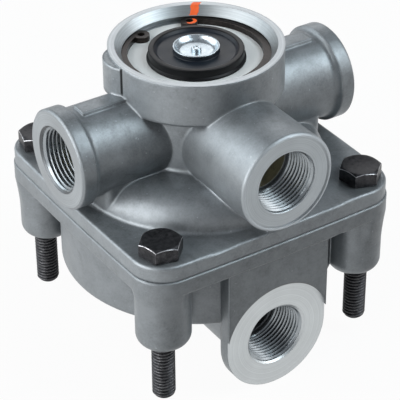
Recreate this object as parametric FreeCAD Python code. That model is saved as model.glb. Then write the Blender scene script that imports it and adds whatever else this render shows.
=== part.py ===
import FreeCAD, Part
import math
import os

# Relay valve of a compressed-air brake, in millimetres.
# The frame's origin is the centre of the four studs, on the plane of the corner bosses that
# seats against the bracket. +Z runs along the valve's axis towards the exhaust collar,
# the supply port and the control port face -Y, and the delivery ports face -X and +X.

# Heights of the main planes
MOUNT_Z = 0.0
PARTING_Z = 30.0
BODY_FLANGE_T = 5.8
COVER_FLANGE_T = 6.2
PORT_AXIS_Z = 55.0
CONTROL_AXIS_Z = -8.7

# Square flange of each casting, with the four bolts at its corners
FLANGE_MARGIN = 9.4
COVER_FLANGE_STEP = 0.35
FLANGE_CORNER_R = 12.0
FLANGE_BOW = 0.8
FLANGE_EDGE_R = 0.9
PARTING_EDGE = 0.3
BOLT_SPACING = 80.0

# Drum of the upper body over the piston
DRUM_R = 44.6
DRUM_TOP_Z = 46.4
DRUM_SHOULDER_R = 11.0
DRUM_WALL = 4.0
DRUM_CAVITY_R = 39.0
DRUM_FOOT_R = 1.5
NECK_FOOT_R = 1.5
FOOT_SINK = 0.05

# Neck and exhaust collar
NECK_R = 25.0
COLLAR_R = 29.6
COLLAR_H = 15.0
COLLAR_TOP_Z = 82.0
COLLAR_BORE_R = 25.0
COLLAR_MOUTH_R = 27.2
COLLAR_MOUTH_DEPTH = 3.2
PAD_R = 9.2
PAD_CENTRE_R = 23.1
PAD_ANGLE = 167.5
PAD_H = 11.0
PAD_STEP = 0.6

# Ports with an M22 thread, cast as round bosses
THREAD_R = 11.0
MOUTH_CHAMFER = 0.7
THREAD_DEPTH = 15.0
PASSAGE_R = 9.4
SPOTFACE_DEPTH = 0.5
SPOTFACE_R = 16.4

# Delivery ports, left and right
DELIVERY_FACE = 54.5
DELIVERY_TUBE_R = 15.5
DELIVERY_COLLAR_R = 17.2
DELIVERY_COLLAR_L = 5.6
DELIVERY_NECK_L = 3.0
DELIVERY_NECK_SAG = 0.18
WEB_W = 26.0
WEB_CORNER_R = 3.0
RIB_W = 6.4
RIB_TOP = 16.2
RIB_END_GAP = 0.3
CORE_START = 29.0

# Supply port, in front
SUPPLY_FACE = 53.3
SUPPLY_BOSS_R = 17.6
SUPPLY_RIB_W = 9.8
PORT_EDGE_R = 0.7

# Chamber of the supply air inside the neck, and the inlet seat below it
SUPPLY_CHAMBER_R = 21.0
SUPPLY_WAY_INTO = 6.0
PARTITION_Z = 50.0
INLET_BORE_R = 12.5
SEAT_LIP_W = 1.4
SEAT_LIP_H = 2.0
GUIDE_SHOULDER_Z = 68.4

# Lower cover
BOWL_R = 48.4
BOWL_UP = 0.7
BOWL_EDGE_R = 2.0
CYLINDER_R = 42.5
COVER_FLOOR_T = 5.0
BOSS_R = 9.4
BOSS_INSET = 0.8
BOSS_EDGE_R = 4.0
STOP_PAD_H = 3.0
STOP_PAD_R = 5.0
STOP_PAD_CIRCLE_R = 30.0
STOP_PAD_ANGLES = (90, 210, 330)

# Control port under the cover
CONTROL_FACE = 48.7
CONTROL_PLATE_W = 40.0
CONTROL_PLATE_T = 5.2
CONTROL_SPOTFACE_DEPTH = 0.9
CONTROL_SPOTFACE_R = 20.6
CONTROL_TUBE_R = 14.3
CONTROL_TUBE_END = 22.0
CONTROL_DRILL_R = 4.0
CONTROL_DRILL_MARGIN = 1.0
CONTROL_THREAD_DEPTH = 16.0

# Bolts, M8 by 58 with a 13 mm hexagon and a shank as thin as the thread's pitch diameter
BOLT_R = 4.0
BOLT_SHANK_R = 3.6
BOLT_LENGTH = 58.0
BOLT_HEAD_AF = 13.0
BOLT_HEAD_H = 5.3
BOLT_HEAD_SLOPE = 30.0
BOLT_TIP_CHAMFER = 1.2
BOLT_HEAD_TURN = 45.0
BOLT_HOLE_GAP = 0.15

# Clearances
RUNNING_GAP = 0.05
FREE_GAP = 0.3
SEAT_GAP = 0.05

# Length by which one form is carried into the next, or a cut past a face
OVER = 1.0

# Sealing ring between the castings
HOUSING_SEAL_R = 45.2
HOUSING_SEAL_CORD = 2.0

# Piston with its exhaust seat
PISTON_H = 14.0
PISTON_DISC_T = 4.0
PISTON_DISC_UP = 3.0
PISTON_RIM_T = 7.5
STEM_R = 9.6
STEM_WALL = 2.2
EXHAUST_LIP_W = 1.2
EXHAUST_LIP_H = 1.0
EXHAUST_GAP = 1.8
PISTON_RIB_COUNT = 6
PISTON_RIB_T = 2.4
PISTON_RIB_DROP = 1.0
PISTON_SEAL_CORD = 2.6
PISTON_SEAL_UP = 7.6
RING_GROOVE_DEPTH = 1.6
GUIDE_RING_UP = 1.6
GUIDE_RING_H = 3.4

# Valve that the piston lifts
SLEEVE_R = 10.0
SLEEVE_BORE_R = 7.5
SLEEVE_TOP_Z = 69.5
SLEEVE_EDGE = 0.5
VALVE_FLANGE_R = 15.6
VALVE_FLANGE_T = 2.0
RUBBER_T = 3.0
RETAINER_T = 0.8
SPRING_WASHER_T = 0.8
SPRING_WASHER_R = 17.4
SPRING_WIRE_R = 0.85
SPRING_R = 16.2
SPRING_TURNS = 3.5

# Insert that guides the valve
GUIDE_TOP_Z = 76.4
GUIDE_R = 24.9
GUIDE_HUB_R = 14.2
GUIDE_HUB_FOOT_Z = 61.6
GUIDE_OPENING_R = 13.2
GUIDE_SPIDER_T = 3.4
GUIDE_RECESS = 0.8
GUIDE_SPOKE_W = 3.0
GUIDE_SPOKES = 4
GUIDE_BOSS_R = 4.6
GUIDE_OUTER_CORD = 2.4
GUIDE_OUTER_DROP = 0.6
GUIDE_INNER_CORD = 2.2

# Snap ring
RING_T = 2.0
RING_GROOVE_INTO = 1.5
RING_GROOVE_GAP = 0.2
RING_BACK_W = 4.2
RING_END_W = 2.9
RING_GAP_ANGLE = 88.0
RING_LUG_SPREAD = 24.8
RING_LUG_INSET = 3.7
RING_LUG_R = 2.9
RING_LUG_HOLE_R = 1.25

# Exhaust flap with its cap and pin
FLAP_LIP_R = 16.7
FLAP_RING_R = 16.1
FLAP_H = 3.7
FLAP_RING_W = 1.8
FLAP_WEB_R = 13.2
FLAP_WEB_TOP = 2.5
FLAP_WEB_T = 1.4
FLAP_HUB_R = 7.6
FLAP_HUB_TOP = 3.6
FLAP_HUB_DISH = 1.6
FLAP_LIP_H = 1.1
FLAP_EDGE = 0.4
CAP_R = 7.9
CAP_SHEET = 0.6
CAP_FLOOR_R = 6.0
PIN_R = 1.65
PIN_HEAD_R = 2.6
PIN_HEAD_H = 0.9
PIN_EDGE = 0.4
PIN_STANDS_OUT = 1.2

V = FreeCAD.Vector
X_AXIS = V(1, 0, 0)
Y_AXIS = V(0, 1, 0)
Z_AXIS = V(0, 0, 1)
HALF_BOLTS = BOLT_SPACING / 2
FLANGE_SIDE = BOLT_SPACING + 2 * FLANGE_MARGIN
FLANGE_TOP_Z = PARTING_Z + BODY_FLANGE_T
COVER_FLANGE_Z = PARTING_Z - COVER_FLANGE_T
COLLAR_FOOT_Z = COLLAR_TOP_Z - COLLAR_H
INLET_SEAT_Z = PARTITION_Z + SEAT_LIP_H
PISTON_Z = MOUNT_Z + COVER_FLOOR_T + STOP_PAD_H
RING_GROOVE_R = COLLAR_BORE_R + RING_GROOVE_INTO
RING_OUTER_R = RING_GROOVE_R - RING_GROOVE_GAP
CORNERS = [(-1, -1), (1, -1), (1, 1), (-1, 1)]


def cylinder(radius, low, high, centre=(0, 0)):
    return Part.makeCylinder(radius, high - low, V(centre[0], centre[1], low), Z_AXIS)


def tube(outer, inner, low, high):
    return cylinder(outer, low, high).cut(cylinder(inner, low, high))


def cylinder_along(axis, radius, start, end, height):
    """Cylinder on a horizontal line through the valve's axis, from start to end along axis."""
    base = axis * start + V(0, 0, height)
    return Part.makeCylinder(radius, end - start, base, axis)


def block(low, high):
    size = [b - a for a, b in zip(low, high)]
    return Part.makeBox(size[0], size[1], size[2], V(low[0], low[1], low[2]))


def turned(points):
    """Solid of revolution about Z from a closed outline of (radius, height) points."""
    corners = [V(r, 0, z) for r, z in points]
    outline = Part.makePolygon(corners + [corners[0]])
    return Part.Face(outline).revolve(V(0, 0, 0), Z_AXIS, 360)


def turned_path(edges):
    return Part.Face(Part.Wire(edges)).revolve(V(0, 0, 0), Z_AXIS, 360)


def lay_along(solid, axis, height):
    """Lay a solid turned about Z on its side, with its +Z along a horizontal axis."""
    turn = FreeCAD.Rotation(Z_AXIS, axis)
    placed = solid.copy()
    placed.Placement = FreeCAD.Placement(V(0, 0, height), turn)
    return placed


def sealing_ring(radius, cord, height):
    return Part.makeTorus(radius, cord / 2, V(0, 0, height), Z_AXIS)


def square_outline(side, bow):
    """Square with sides that bow out a little, as the castings' flanges do."""
    half = side / 2
    corners = [V(sx * half, sy * half, 0) for sx, sy in CORNERS]
    edges = []
    for start, end in zip(corners, corners[1:] + corners[:1]):
        middle = (start + end) * 0.5
        outward = V(middle.x, middle.y, 0).normalize()
        edges.append(Part.Arc(start, middle + outward * bow, end).toShape())
    return Part.Wire(edges)


def flange(side, low, thickness):
    outline = square_outline(side, FLANGE_BOW)
    plate = Part.Face(outline).extrude(V(0, 0, thickness))
    plate.translate(V(0, 0, low))
    upright = [e for e in plate.Edges if e.BoundBox.ZLength > thickness / 2]
    return plate.makeFillet(FLANGE_CORNER_R, upright)


def rim_edges(solid, height):
    return [e for e in solid.Edges if e.BoundBox.ZLength < 1e-6 and abs(e.BoundBox.ZMin - height) < 1e-6]


def rounded_rim(solid, radius, height):
    """Round the rim edges of a plate that lie at one height."""
    return solid.makeFillet(radius, rim_edges(solid, height))


def broken_rim(solid, width, height):
    """Chamfer the rim edges of a plate that lie at one height."""
    return solid.makeChamfer(width, rim_edges(solid, height))


def bolt_positions():
    return [(sx * HALF_BOLTS, sy * HALF_BOLTS) for sx, sy in CORNERS]


def foot(radius, height, round_r):
    """Outline from inside a flat face up into a concave foot round a turned form."""
    low = height - FOOT_SINK
    lean = (1 - math.sqrt(0.5)) * round_r
    start = V(radius + round_r, 0, low)
    middle = V(radius + lean, 0, low + lean)
    end = V(radius, 0, low + round_r)
    return [
        Part.makeLine(V(0, 0, low - OVER), V(radius + round_r, 0, low - OVER)),
        Part.makeLine(V(radius + round_r, 0, low - OVER), start),
        Part.Arc(start, middle, end).toShape(),
    ]


def drum():
    """Low round drum with a wide rounded shoulder, on the flange."""
    foot_top = FLANGE_TOP_Z - FOOT_SINK + DRUM_FOOT_R
    centre_z = DRUM_TOP_Z - DRUM_SHOULDER_R
    side_top = max(foot_top, centre_z)
    rise = side_top - centre_z
    centre_r = DRUM_R - math.sqrt(DRUM_SHOULDER_R ** 2 - rise ** 2)
    lean = (math.asin(rise / DRUM_SHOULDER_R) + math.pi / 2) / 2
    middle = V(centre_r + DRUM_SHOULDER_R * math.cos(lean), 0, centre_z + DRUM_SHOULDER_R * math.sin(lean))
    side = V(DRUM_R, 0, side_top)
    crown = V(centre_r, 0, DRUM_TOP_Z)
    base = V(0, 0, FLANGE_TOP_Z - FOOT_SINK - OVER)
    edges = foot(DRUM_R, FLANGE_TOP_Z, DRUM_FOOT_R)
    if side_top > foot_top:
        edges.append(Part.makeLine(V(DRUM_R, 0, foot_top), side))
    return turned_path(edges + [
        Part.Arc(side, middle, crown).toShape(),
        Part.makeLine(crown, V(0, 0, DRUM_TOP_Z)),
        Part.makeLine(V(0, 0, DRUM_TOP_Z), base),
    ])


def neck():
    side = V(NECK_R, 0, DRUM_TOP_Z - FOOT_SINK + NECK_FOOT_R)
    top = V(NECK_R, 0, COLLAR_FOOT_Z + OVER)
    base = V(0, 0, DRUM_TOP_Z - FOOT_SINK - OVER)
    return turned_path(foot(NECK_R, DRUM_TOP_Z, NECK_FOOT_R) + [
        Part.makeLine(side, top),
        Part.makeLine(top, V(0, 0, top.z)),
        Part.makeLine(V(0, 0, top.z), base),
    ])


def hollow_neck(start, end):
    """Concave arc of a neck that widens from a tube to its end collar."""
    chord = end - start
    middle = (start + end) * 0.5
    inward = V(chord.z, 0, -chord.x).normalize()
    return Part.Arc(start, middle - inward * (DELIVERY_NECK_SAG * chord.Length), end).toShape()


def delivery_web(axis):
    """Upright web from the flange to the tube, as far out as the drum, with rounded corners."""
    half = WEB_W / 2
    low = FLANGE_TOP_Z - OVER
    reach = sorted([0, axis.x * DRUM_R])
    width = block((reach[0], -half, low), (reach[1], half, PORT_AXIS_Z))
    web = cylinder(DRUM_R, low, PORT_AXIS_Z).common(width)
    upright = [e for e in web.Edges if e.BoundBox.ZLength > WEB_CORNER_R]
    corners = [e for e in upright if abs(e.Vertexes[0].X) > half]
    return web.makeFillet(WEB_CORNER_R, corners)


def delivery_boss(axis):
    """Tube with a thicker end collar, a hollow neck before it, a rib on top and a web below."""
    collar_back = DELIVERY_FACE - DELIVERY_COLLAR_L
    neck_start = collar_back - DELIVERY_NECK_L
    round_r = PORT_EDGE_R
    start = V(DELIVERY_TUBE_R, 0, neck_start)
    back = V(DELIVERY_COLLAR_R, 0, collar_back)
    face = V(DELIVERY_COLLAR_R, 0, DELIVERY_FACE - round_r)
    lip = V(DELIVERY_COLLAR_R - round_r, 0, DELIVERY_FACE)
    form = turned_path([
        Part.makeLine(V(0, 0, 0), V(DELIVERY_TUBE_R, 0, 0)),
        Part.makeLine(V(DELIVERY_TUBE_R, 0, 0), start),
        hollow_neck(start, back),
        Part.makeLine(back, face),
        Part.makeLine(face, lip),
        Part.makeLine(lip, V(0, 0, DELIVERY_FACE)),
        Part.makeLine(V(0, 0, DELIVERY_FACE), V(0, 0, 0)),
    ])
    boss = lay_along(form, axis, PORT_AXIS_Z)
    reach = sorted([0, axis.x * (neck_start - RIB_END_GAP)])
    half = RIB_W / 2
    rib = block((reach[0], -half, PORT_AXIS_Z), (reach[1], half, PORT_AXIS_Z + RIB_TOP))
    return boss.fuse([rib, delivery_web(axis)])


def supply_boss():
    """Round boss with a small edge, and a rib below it."""
    edge = PORT_EDGE_R
    form = turned([
        (0, 0), (SUPPLY_BOSS_R, 0), (SUPPLY_BOSS_R, SUPPLY_FACE - edge), (SUPPLY_BOSS_R - edge, SUPPLY_FACE),
        (0, SUPPLY_FACE),
    ])
    boss = lay_along(form, -Y_AXIS, PORT_AXIS_Z)
    half = SUPPLY_RIB_W / 2
    rib = block((-half, -FLANGE_SIDE / 2, FLANGE_TOP_Z - OVER), (half, 0, PORT_AXIS_Z))
    return boss.fuse(rib)


def collar():
    """Round exhaust collar with a casting pad that stands out of its side, just under its rim."""
    form = cylinder(COLLAR_R, COLLAR_FOOT_Z, COLLAR_TOP_Z)
    angle = math.radians(PAD_ANGLE)
    centre = (PAD_CENTRE_R * math.cos(angle), PAD_CENTRE_R * math.sin(angle))
    pad_top = COLLAR_TOP_Z - PAD_STEP
    pad = cylinder(PAD_R, pad_top - PAD_H, pad_top, centre)
    return form.fuse(pad)


def collar_bore():
    """Bore for the insert, with the conical mouth and the snap ring's groove."""
    groove_low = GUIDE_TOP_Z
    groove_high = GUIDE_TOP_Z + RING_T + RING_GROOVE_GAP
    mouth_z = COLLAR_TOP_Z - COLLAR_MOUTH_DEPTH
    return turned([
        (0, GUIDE_SHOULDER_Z), (COLLAR_BORE_R, GUIDE_SHOULDER_Z), (COLLAR_BORE_R, groove_low),
        (RING_GROOVE_R, groove_low), (RING_GROOVE_R, groove_high), (COLLAR_BORE_R, groove_high),
        (COLLAR_BORE_R, mouth_z), (COLLAR_MOUTH_R, COLLAR_TOP_Z), (COLLAR_MOUTH_R, COLLAR_TOP_Z + OVER),
        (0, COLLAR_TOP_Z + OVER),
    ])


def threaded_port(face, depth, passage_end):
    """Space of a port along +Z: mouth chamfer, threaded bore and the passage behind it."""
    passage = PASSAGE_R
    bore_end = face - depth
    return turned([
        (0, passage_end), (passage, passage_end), (passage, bore_end), (THREAD_R, bore_end),
        (THREAD_R, face - MOUTH_CHAMFER), (THREAD_R + MOUTH_CHAMFER, face),
        (THREAD_R + MOUTH_CHAMFER, face + 2 * OVER), (0, face + 2 * OVER),
    ])


def delivery_space(axis):
    """Port bore, and the cored way down from it into the drum."""
    port = lay_along(threaded_port(DELIVERY_FACE, THREAD_DEPTH, CORE_START), axis, PORT_AXIS_Z)
    reach = sorted([axis.x * CORE_START, axis.x * (DRUM_CAVITY_R - OVER)])
    low = DRUM_TOP_Z - DRUM_WALL - OVER
    way = block((reach[0], -PASSAGE_R, low), (reach[1], PASSAGE_R, PORT_AXIS_Z))
    return port.fuse(way)


def body_flange():
    plate = rounded_rim(flange(FLANGE_SIDE, PARTING_Z, BODY_FLANGE_T), FLANGE_EDGE_R, FLANGE_TOP_Z)
    return broken_rim(plate, PARTING_EDGE, PARTING_Z)


def upper_body():
    outside = [drum(), neck(), collar()]
    outside += [delivery_boss(X_AXIS), delivery_boss(-X_AXIS), supply_boss()]
    body = body_flange().fuse(outside).removeSplitter()
    roof_z = DRUM_TOP_Z - DRUM_WALL
    supply_way = threaded_port(SUPPLY_FACE, THREAD_DEPTH, SUPPLY_CHAMBER_R - SUPPLY_WAY_INTO)
    spot_z = SUPPLY_FACE - SPOTFACE_DEPTH
    inside = [
        cylinder(DRUM_CAVITY_R, PARTING_Z - OVER, roof_z),
        cylinder(INLET_BORE_R, roof_z - OVER, INLET_SEAT_Z + OVER),
        tube(SUPPLY_CHAMBER_R, INLET_BORE_R + SEAT_LIP_W, PARTITION_Z, INLET_SEAT_Z),
        cylinder(SUPPLY_CHAMBER_R, INLET_SEAT_Z, GUIDE_SHOULDER_Z + OVER),
        collar_bore(),
        delivery_space(X_AXIS),
        delivery_space(-X_AXIS),
        lay_along(supply_way, -Y_AXIS, PORT_AXIS_Z),
        cylinder_along(-Y_AXIS, SPOTFACE_R, spot_z, SUPPLY_FACE + OVER, PORT_AXIS_Z),
    ]
    for at in bolt_positions():
        inside.append(cylinder(BOLT_R + BOLT_HOLE_GAP, PARTING_Z - OVER, FLANGE_TOP_Z + OVER, at))
    return body.cut(inside)


def control_port_form():
    """U-shaped port plate under the flange, with a narrower U-shaped tube behind it."""
    half = CONTROL_PLATE_W / 2
    front = -(CONTROL_FACE + CONTROL_SPOTFACE_DEPTH)
    plate_back = front + CONTROL_PLATE_T
    high = PARTING_Z - COVER_FLANGE_T / 2
    plate = block((-half, front, CONTROL_AXIS_Z), (half, plate_back, high))
    plate_end = cylinder_along(-Y_AXIS, half, -plate_back, -front, CONTROL_AXIS_Z)
    tube_end = cylinder_along(-Y_AXIS, CONTROL_TUBE_R, CONTROL_TUBE_END, -plate_back, CONTROL_AXIS_Z)
    wide = CONTROL_TUBE_R
    web = block((-wide, plate_back, CONTROL_AXIS_Z), (wide, -CONTROL_TUBE_END, high))
    return plate.fuse([plate_end, tube_end, web])


def corner_boss(at):
    side = BOSS_R - BOSS_EDGE_R
    lean = math.sqrt(0.5) * BOSS_EDGE_R
    low = V(side, 0, MOUNT_Z)
    middle = V(side + lean, 0, MOUNT_Z + BOSS_EDGE_R - lean)
    high = V(BOSS_R, 0, MOUNT_Z + BOSS_EDGE_R)
    top = V(BOSS_R, 0, PARTING_Z - COVER_FLANGE_T / 2)
    boss = turned_path([
        Part.makeLine(V(0, 0, MOUNT_Z), low),
        Part.Arc(low, middle, high).toShape(),
        Part.makeLine(high, top),
        Part.makeLine(top, V(0, 0, top.z)),
        Part.makeLine(V(0, 0, top.z), V(0, 0, MOUNT_Z)),
    ])
    inset = V(math.copysign(BOSS_INSET, at[0]), math.copysign(BOSS_INSET, at[1]), 0)
    boss.translate(V(at[0], at[1], 0) - inset)
    return boss


def stop_pads():
    """Three pads on the cover's floor that the piston rests on."""
    pads = []
    for turn in STOP_PAD_ANGLES:
        angle = math.radians(turn)
        at = (STOP_PAD_CIRCLE_R * math.cos(angle), STOP_PAD_CIRCLE_R * math.sin(angle))
        pads.append(cylinder(STOP_PAD_R, MOUNT_Z + COVER_FLOOR_T - OVER, PISTON_Z, at))
    return pads


def cover_flange():
    side = FLANGE_SIDE + 2 * COVER_FLANGE_STEP
    plate = rounded_rim(flange(side, COVER_FLANGE_Z, COVER_FLANGE_T), FLANGE_EDGE_R, COVER_FLANGE_Z)
    return broken_rim(plate, PARTING_EDGE, PARTING_Z)


def control_cover():
    bowl_low = MOUNT_Z + BOWL_UP
    bowl = rounded_rim(cylinder(BOWL_R, bowl_low, PARTING_Z - COVER_FLANGE_T / 2), BOWL_EDGE_R, bowl_low)
    bosses = [corner_boss(at) for at in bolt_positions()]
    cover = cover_flange().fuse([bowl, control_port_form()] + bosses).removeSplitter()
    cover = cover.cut(cylinder(CYLINDER_R, MOUNT_Z + COVER_FLOOR_T, PARTING_Z + OVER))
    cover = cover.fuse(stop_pads())
    drill_at = CONTROL_FACE - CONTROL_THREAD_DEPTH - CONTROL_DRILL_R - CONTROL_DRILL_MARGIN
    drill_back = drill_at - CONTROL_DRILL_R - CONTROL_DRILL_MARGIN
    drill_top = MOUNT_Z + COVER_FLOOR_T + OVER
    inside = [
        lay_along(threaded_port(CONTROL_FACE, CONTROL_THREAD_DEPTH, drill_back), -Y_AXIS, CONTROL_AXIS_Z),
        cylinder(CONTROL_DRILL_R, CONTROL_AXIS_Z, drill_top, (0, -drill_at)),
        cylinder_along(-Y_AXIS, CONTROL_SPOTFACE_R, CONTROL_FACE, CONTROL_FACE + 2 * OVER, CONTROL_AXIS_Z),
        housing_seal_groove(),
    ]
    for at in bolt_positions():
        inside.append(cylinder(BOLT_R + BOLT_HOLE_GAP, MOUNT_Z - OVER, PARTING_Z + OVER, at))
    return cover.cut(inside)


def housing_seal_groove():
    half = HOUSING_SEAL_CORD / 2 + FREE_GAP
    depth = HOUSING_SEAL_CORD + 2 * SEAT_GAP
    return tube(HOUSING_SEAL_R + half, HOUSING_SEAL_R - half, PARTING_Z - depth, PARTING_Z + OVER)


def housing_seal():
    return sealing_ring(HOUSING_SEAL_R, HOUSING_SEAL_CORD, PARTING_Z - SEAT_GAP - HOUSING_SEAL_CORD / 2)


def mounting_bolt(at):
    """Hex bolt down through both castings, threaded where it stands out of them as a stud."""
    tip = FLANGE_TOP_Z - BOLT_LENGTH
    head_top = FLANGE_TOP_Z + BOLT_HEAD_H
    shank_low = MOUNT_Z + BOLT_R - BOLT_SHANK_R
    shank = turned([
        (0, tip), (BOLT_R - BOLT_TIP_CHAMFER, tip), (BOLT_R, tip + BOLT_TIP_CHAMFER), (BOLT_R, MOUNT_Z),
        (BOLT_SHANK_R, shank_low), (BOLT_SHANK_R, FLANGE_TOP_Z), (0, FLANGE_TOP_Z),
    ])
    corner_r = BOLT_HEAD_AF / math.sqrt(3)
    corners = []
    for step in range(6):
        angle = math.radians(60 * step + BOLT_HEAD_TURN)
        corners.append(V(corner_r * math.cos(angle), corner_r * math.sin(angle), FLANGE_TOP_Z))
    hexagon = Part.Face(Part.makePolygon(corners + [corners[0]])).extrude(V(0, 0, BOLT_HEAD_H))
    flat_r = BOLT_HEAD_AF / 2
    slope = (corner_r - flat_r) * math.tan(math.radians(BOLT_HEAD_SLOPE))
    form = turned([
        (0, FLANGE_TOP_Z), (corner_r + OVER, FLANGE_TOP_Z), (corner_r + OVER, head_top - slope),
        (corner_r, head_top - slope), (flat_r, head_top), (0, head_top),
    ])
    bolt = hexagon.common(form).fuse(shank).removeSplitter()
    bolt.translate(V(at[0], at[1], 0))
    return bolt


def mounting_bolts():
    return Part.makeCompound([mounting_bolt(at) for at in bolt_positions()])


def piston_rim_r():
    return CYLINDER_R - FREE_GAP


def ring_groove(outer_r, inner_r, middle, height):
    return tube(outer_r + OVER, inner_r, middle - height / 2, middle + height / 2)


def relay_piston():
    rim_r = piston_rim_r()
    disc_low = PISTON_Z + PISTON_DISC_UP
    disc_high = disc_low + PISTON_DISC_T
    rim_top = PISTON_Z + PISTON_H
    inner = rim_r - PISTON_RIM_T
    lip_z = INLET_SEAT_Z - EXHAUST_GAP
    bore = STEM_R - STEM_WALL
    lip_r = STEM_R - (STEM_WALL - EXHAUST_LIP_W) / 2
    form = turned([
        (0, disc_low), (inner, disc_low), (inner, PISTON_Z), (rim_r, PISTON_Z), (rim_r, rim_top),
        (inner, rim_top), (inner, disc_high), (STEM_R, disc_high), (STEM_R, lip_z - EXHAUST_LIP_H),
        (lip_r, lip_z), (lip_r - EXHAUST_LIP_W, lip_z), (bore, lip_z - EXHAUST_LIP_H), (bore, disc_high),
        (0, disc_high),
    ])
    half = PISTON_RIB_T / 2
    rib_top = rim_top - PISTON_RIB_DROP
    ribs = []
    for step in range(PISTON_RIB_COUNT):
        rib = block((STEM_R - OVER, -half, disc_high - OVER), (inner + OVER, half, rib_top))
        rib.rotate(V(0, 0, 0), Z_AXIS, 360 / PISTON_RIB_COUNT * step)
        ribs.append(rib)
    seal_in = CYLINDER_R - RUNNING_GAP - PISTON_SEAL_CORD - SEAT_GAP
    grooves = [
        ring_groove(rim_r, seal_in, PISTON_Z + PISTON_SEAL_UP + PISTON_SEAL_CORD / 2,
                    PISTON_SEAL_CORD + 2 * FREE_GAP),
        ring_groove(rim_r, rim_r - RING_GROOVE_DEPTH, PISTON_Z + GUIDE_RING_UP + GUIDE_RING_H / 2,
                    GUIDE_RING_H + 2 * RUNNING_GAP),
    ]
    return form.fuse(ribs).cut(grooves)


def piston_seal():
    radius = CYLINDER_R - RUNNING_GAP - PISTON_SEAL_CORD / 2
    return sealing_ring(radius, PISTON_SEAL_CORD, PISTON_Z + PISTON_SEAL_UP + PISTON_SEAL_CORD / 2)


def piston_guide_ring():
    low = PISTON_Z + GUIDE_RING_UP
    outer = CYLINDER_R - RUNNING_GAP
    return tube(outer, piston_rim_r() - RING_GROOVE_DEPTH + RUNNING_GAP, low, low + GUIDE_RING_H)


def valve_flange_z():
    return INLET_SEAT_Z + RUBBER_T


def valve_rubber():
    """Facing that closes on the inlet seat outside and on the exhaust seat inside."""
    step = RETAINER_T
    rim = VALVE_FLANGE_R - step
    return turned([
        (SLEEVE_BORE_R, INLET_SEAT_Z), (rim, INLET_SEAT_Z), (rim, INLET_SEAT_Z + step),
        (VALVE_FLANGE_R, INLET_SEAT_Z + step), (VALVE_FLANGE_R, valve_flange_z()),
        (SLEEVE_BORE_R, valve_flange_z()),
    ])


def valve_sleeve():
    low = valve_flange_z()
    top = low + VALVE_FLANGE_T
    return turned([
        (SLEEVE_BORE_R, low), (VALVE_FLANGE_R, low), (VALVE_FLANGE_R, top), (SLEEVE_R, top),
        (SLEEVE_R, SLEEVE_TOP_Z - SLEEVE_EDGE), (SLEEVE_R - SLEEVE_EDGE, SLEEVE_TOP_Z),
        (SLEEVE_BORE_R, SLEEVE_TOP_Z),
    ])


def rubber_retainer():
    """Cup ring that grips the flange and the rubber's step together."""
    inside = VALVE_FLANGE_R
    outside = inside + RETAINER_T
    low = INLET_SEAT_Z + SEAT_GAP
    top = valve_flange_z() + VALVE_FLANGE_T
    lip = inside - RETAINER_T + SEAT_GAP
    return turned([
        (lip, low), (outside, low), (outside, top + RETAINER_T), (inside - 2 * RETAINER_T, top + RETAINER_T),
        (inside - 2 * RETAINER_T, top), (inside, top), (inside, low + RETAINER_T - SEAT_GAP),
        (lip, low + RETAINER_T - SEAT_GAP),
    ])


def spring_foot_z():
    return valve_flange_z() + VALVE_FLANGE_T + RETAINER_T + SPRING_WASHER_T


def spring_washer():
    top = spring_foot_z()
    return tube(SPRING_WASHER_R, SLEEVE_R + FREE_GAP, top - SPRING_WASHER_T, top)


def valve_spring():
    """Coil with ends ground flat on the washer and under the insert."""
    low = spring_foot_z()
    height = GUIDE_SHOULDER_Z - low
    helix = Part.makeHelix(height / SPRING_TURNS, height, SPRING_R)
    section = Part.makeCircle(SPRING_WIRE_R, V(SPRING_R, 0, 0), Y_AXIS)
    coil = Part.Wire(helix.Edges).makePipeShell([Part.Wire([section])], True, True)
    coil.translate(V(0, 0, low))
    return coil.common(cylinder(SPRING_R + SPRING_WIRE_R + OVER, low, GUIDE_SHOULDER_Z))


def valve_guide():
    """Insert with a flat top for the flap, a hub round the valve and an open spider."""
    bore = SLEEVE_R + RUNNING_GAP
    spider_z = GUIDE_TOP_Z - GUIDE_SPIDER_T
    open_z = spider_z - GUIDE_RECESS
    form = turned([
        (bore, GUIDE_HUB_FOOT_Z), (GUIDE_HUB_R, GUIDE_HUB_FOOT_Z), (GUIDE_HUB_R, GUIDE_SHOULDER_Z),
        (GUIDE_R, GUIDE_SHOULDER_Z), (GUIDE_R, GUIDE_TOP_Z), (GUIDE_OPENING_R, GUIDE_TOP_Z),
        (GUIDE_OPENING_R, open_z), (bore, open_z),
    ])
    spokes = [cylinder(GUIDE_BOSS_R, spider_z, GUIDE_TOP_Z)]
    for step in range(GUIDE_SPOKES):
        half = GUIDE_SPOKE_W / 2
        spoke = block((0, -half, spider_z), (GUIDE_OPENING_R + OVER, half, GUIDE_TOP_Z))
        spoke.rotate(V(0, 0, 0), Z_AXIS, 360 / GUIDE_SPOKES * step)
        spokes.append(spoke)
    outer_in = COLLAR_BORE_R - SEAT_GAP - GUIDE_OUTER_CORD - SEAT_GAP
    inner_out = SLEEVE_R + RUNNING_GAP + GUIDE_INNER_CORD + SEAT_GAP
    low = guide_inner_seal_z() - GUIDE_INNER_CORD / 2 - FREE_GAP
    cuts = [
        ring_groove(GUIDE_R, outer_in, guide_outer_seal_z(), GUIDE_OUTER_CORD + 2 * FREE_GAP),
        cylinder(inner_out, low, low + GUIDE_INNER_CORD + 2 * FREE_GAP),
        cylinder(PIN_R + SEAT_GAP, spider_z - OVER, GUIDE_TOP_Z + OVER),
    ]
    return form.fuse(spokes).cut(cuts)


def guide_outer_seal_z():
    return (GUIDE_SHOULDER_Z + GUIDE_TOP_Z) / 2 - GUIDE_OUTER_DROP


def guide_inner_seal_z():
    return (GUIDE_HUB_FOOT_Z + GUIDE_SHOULDER_Z) / 2


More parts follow.
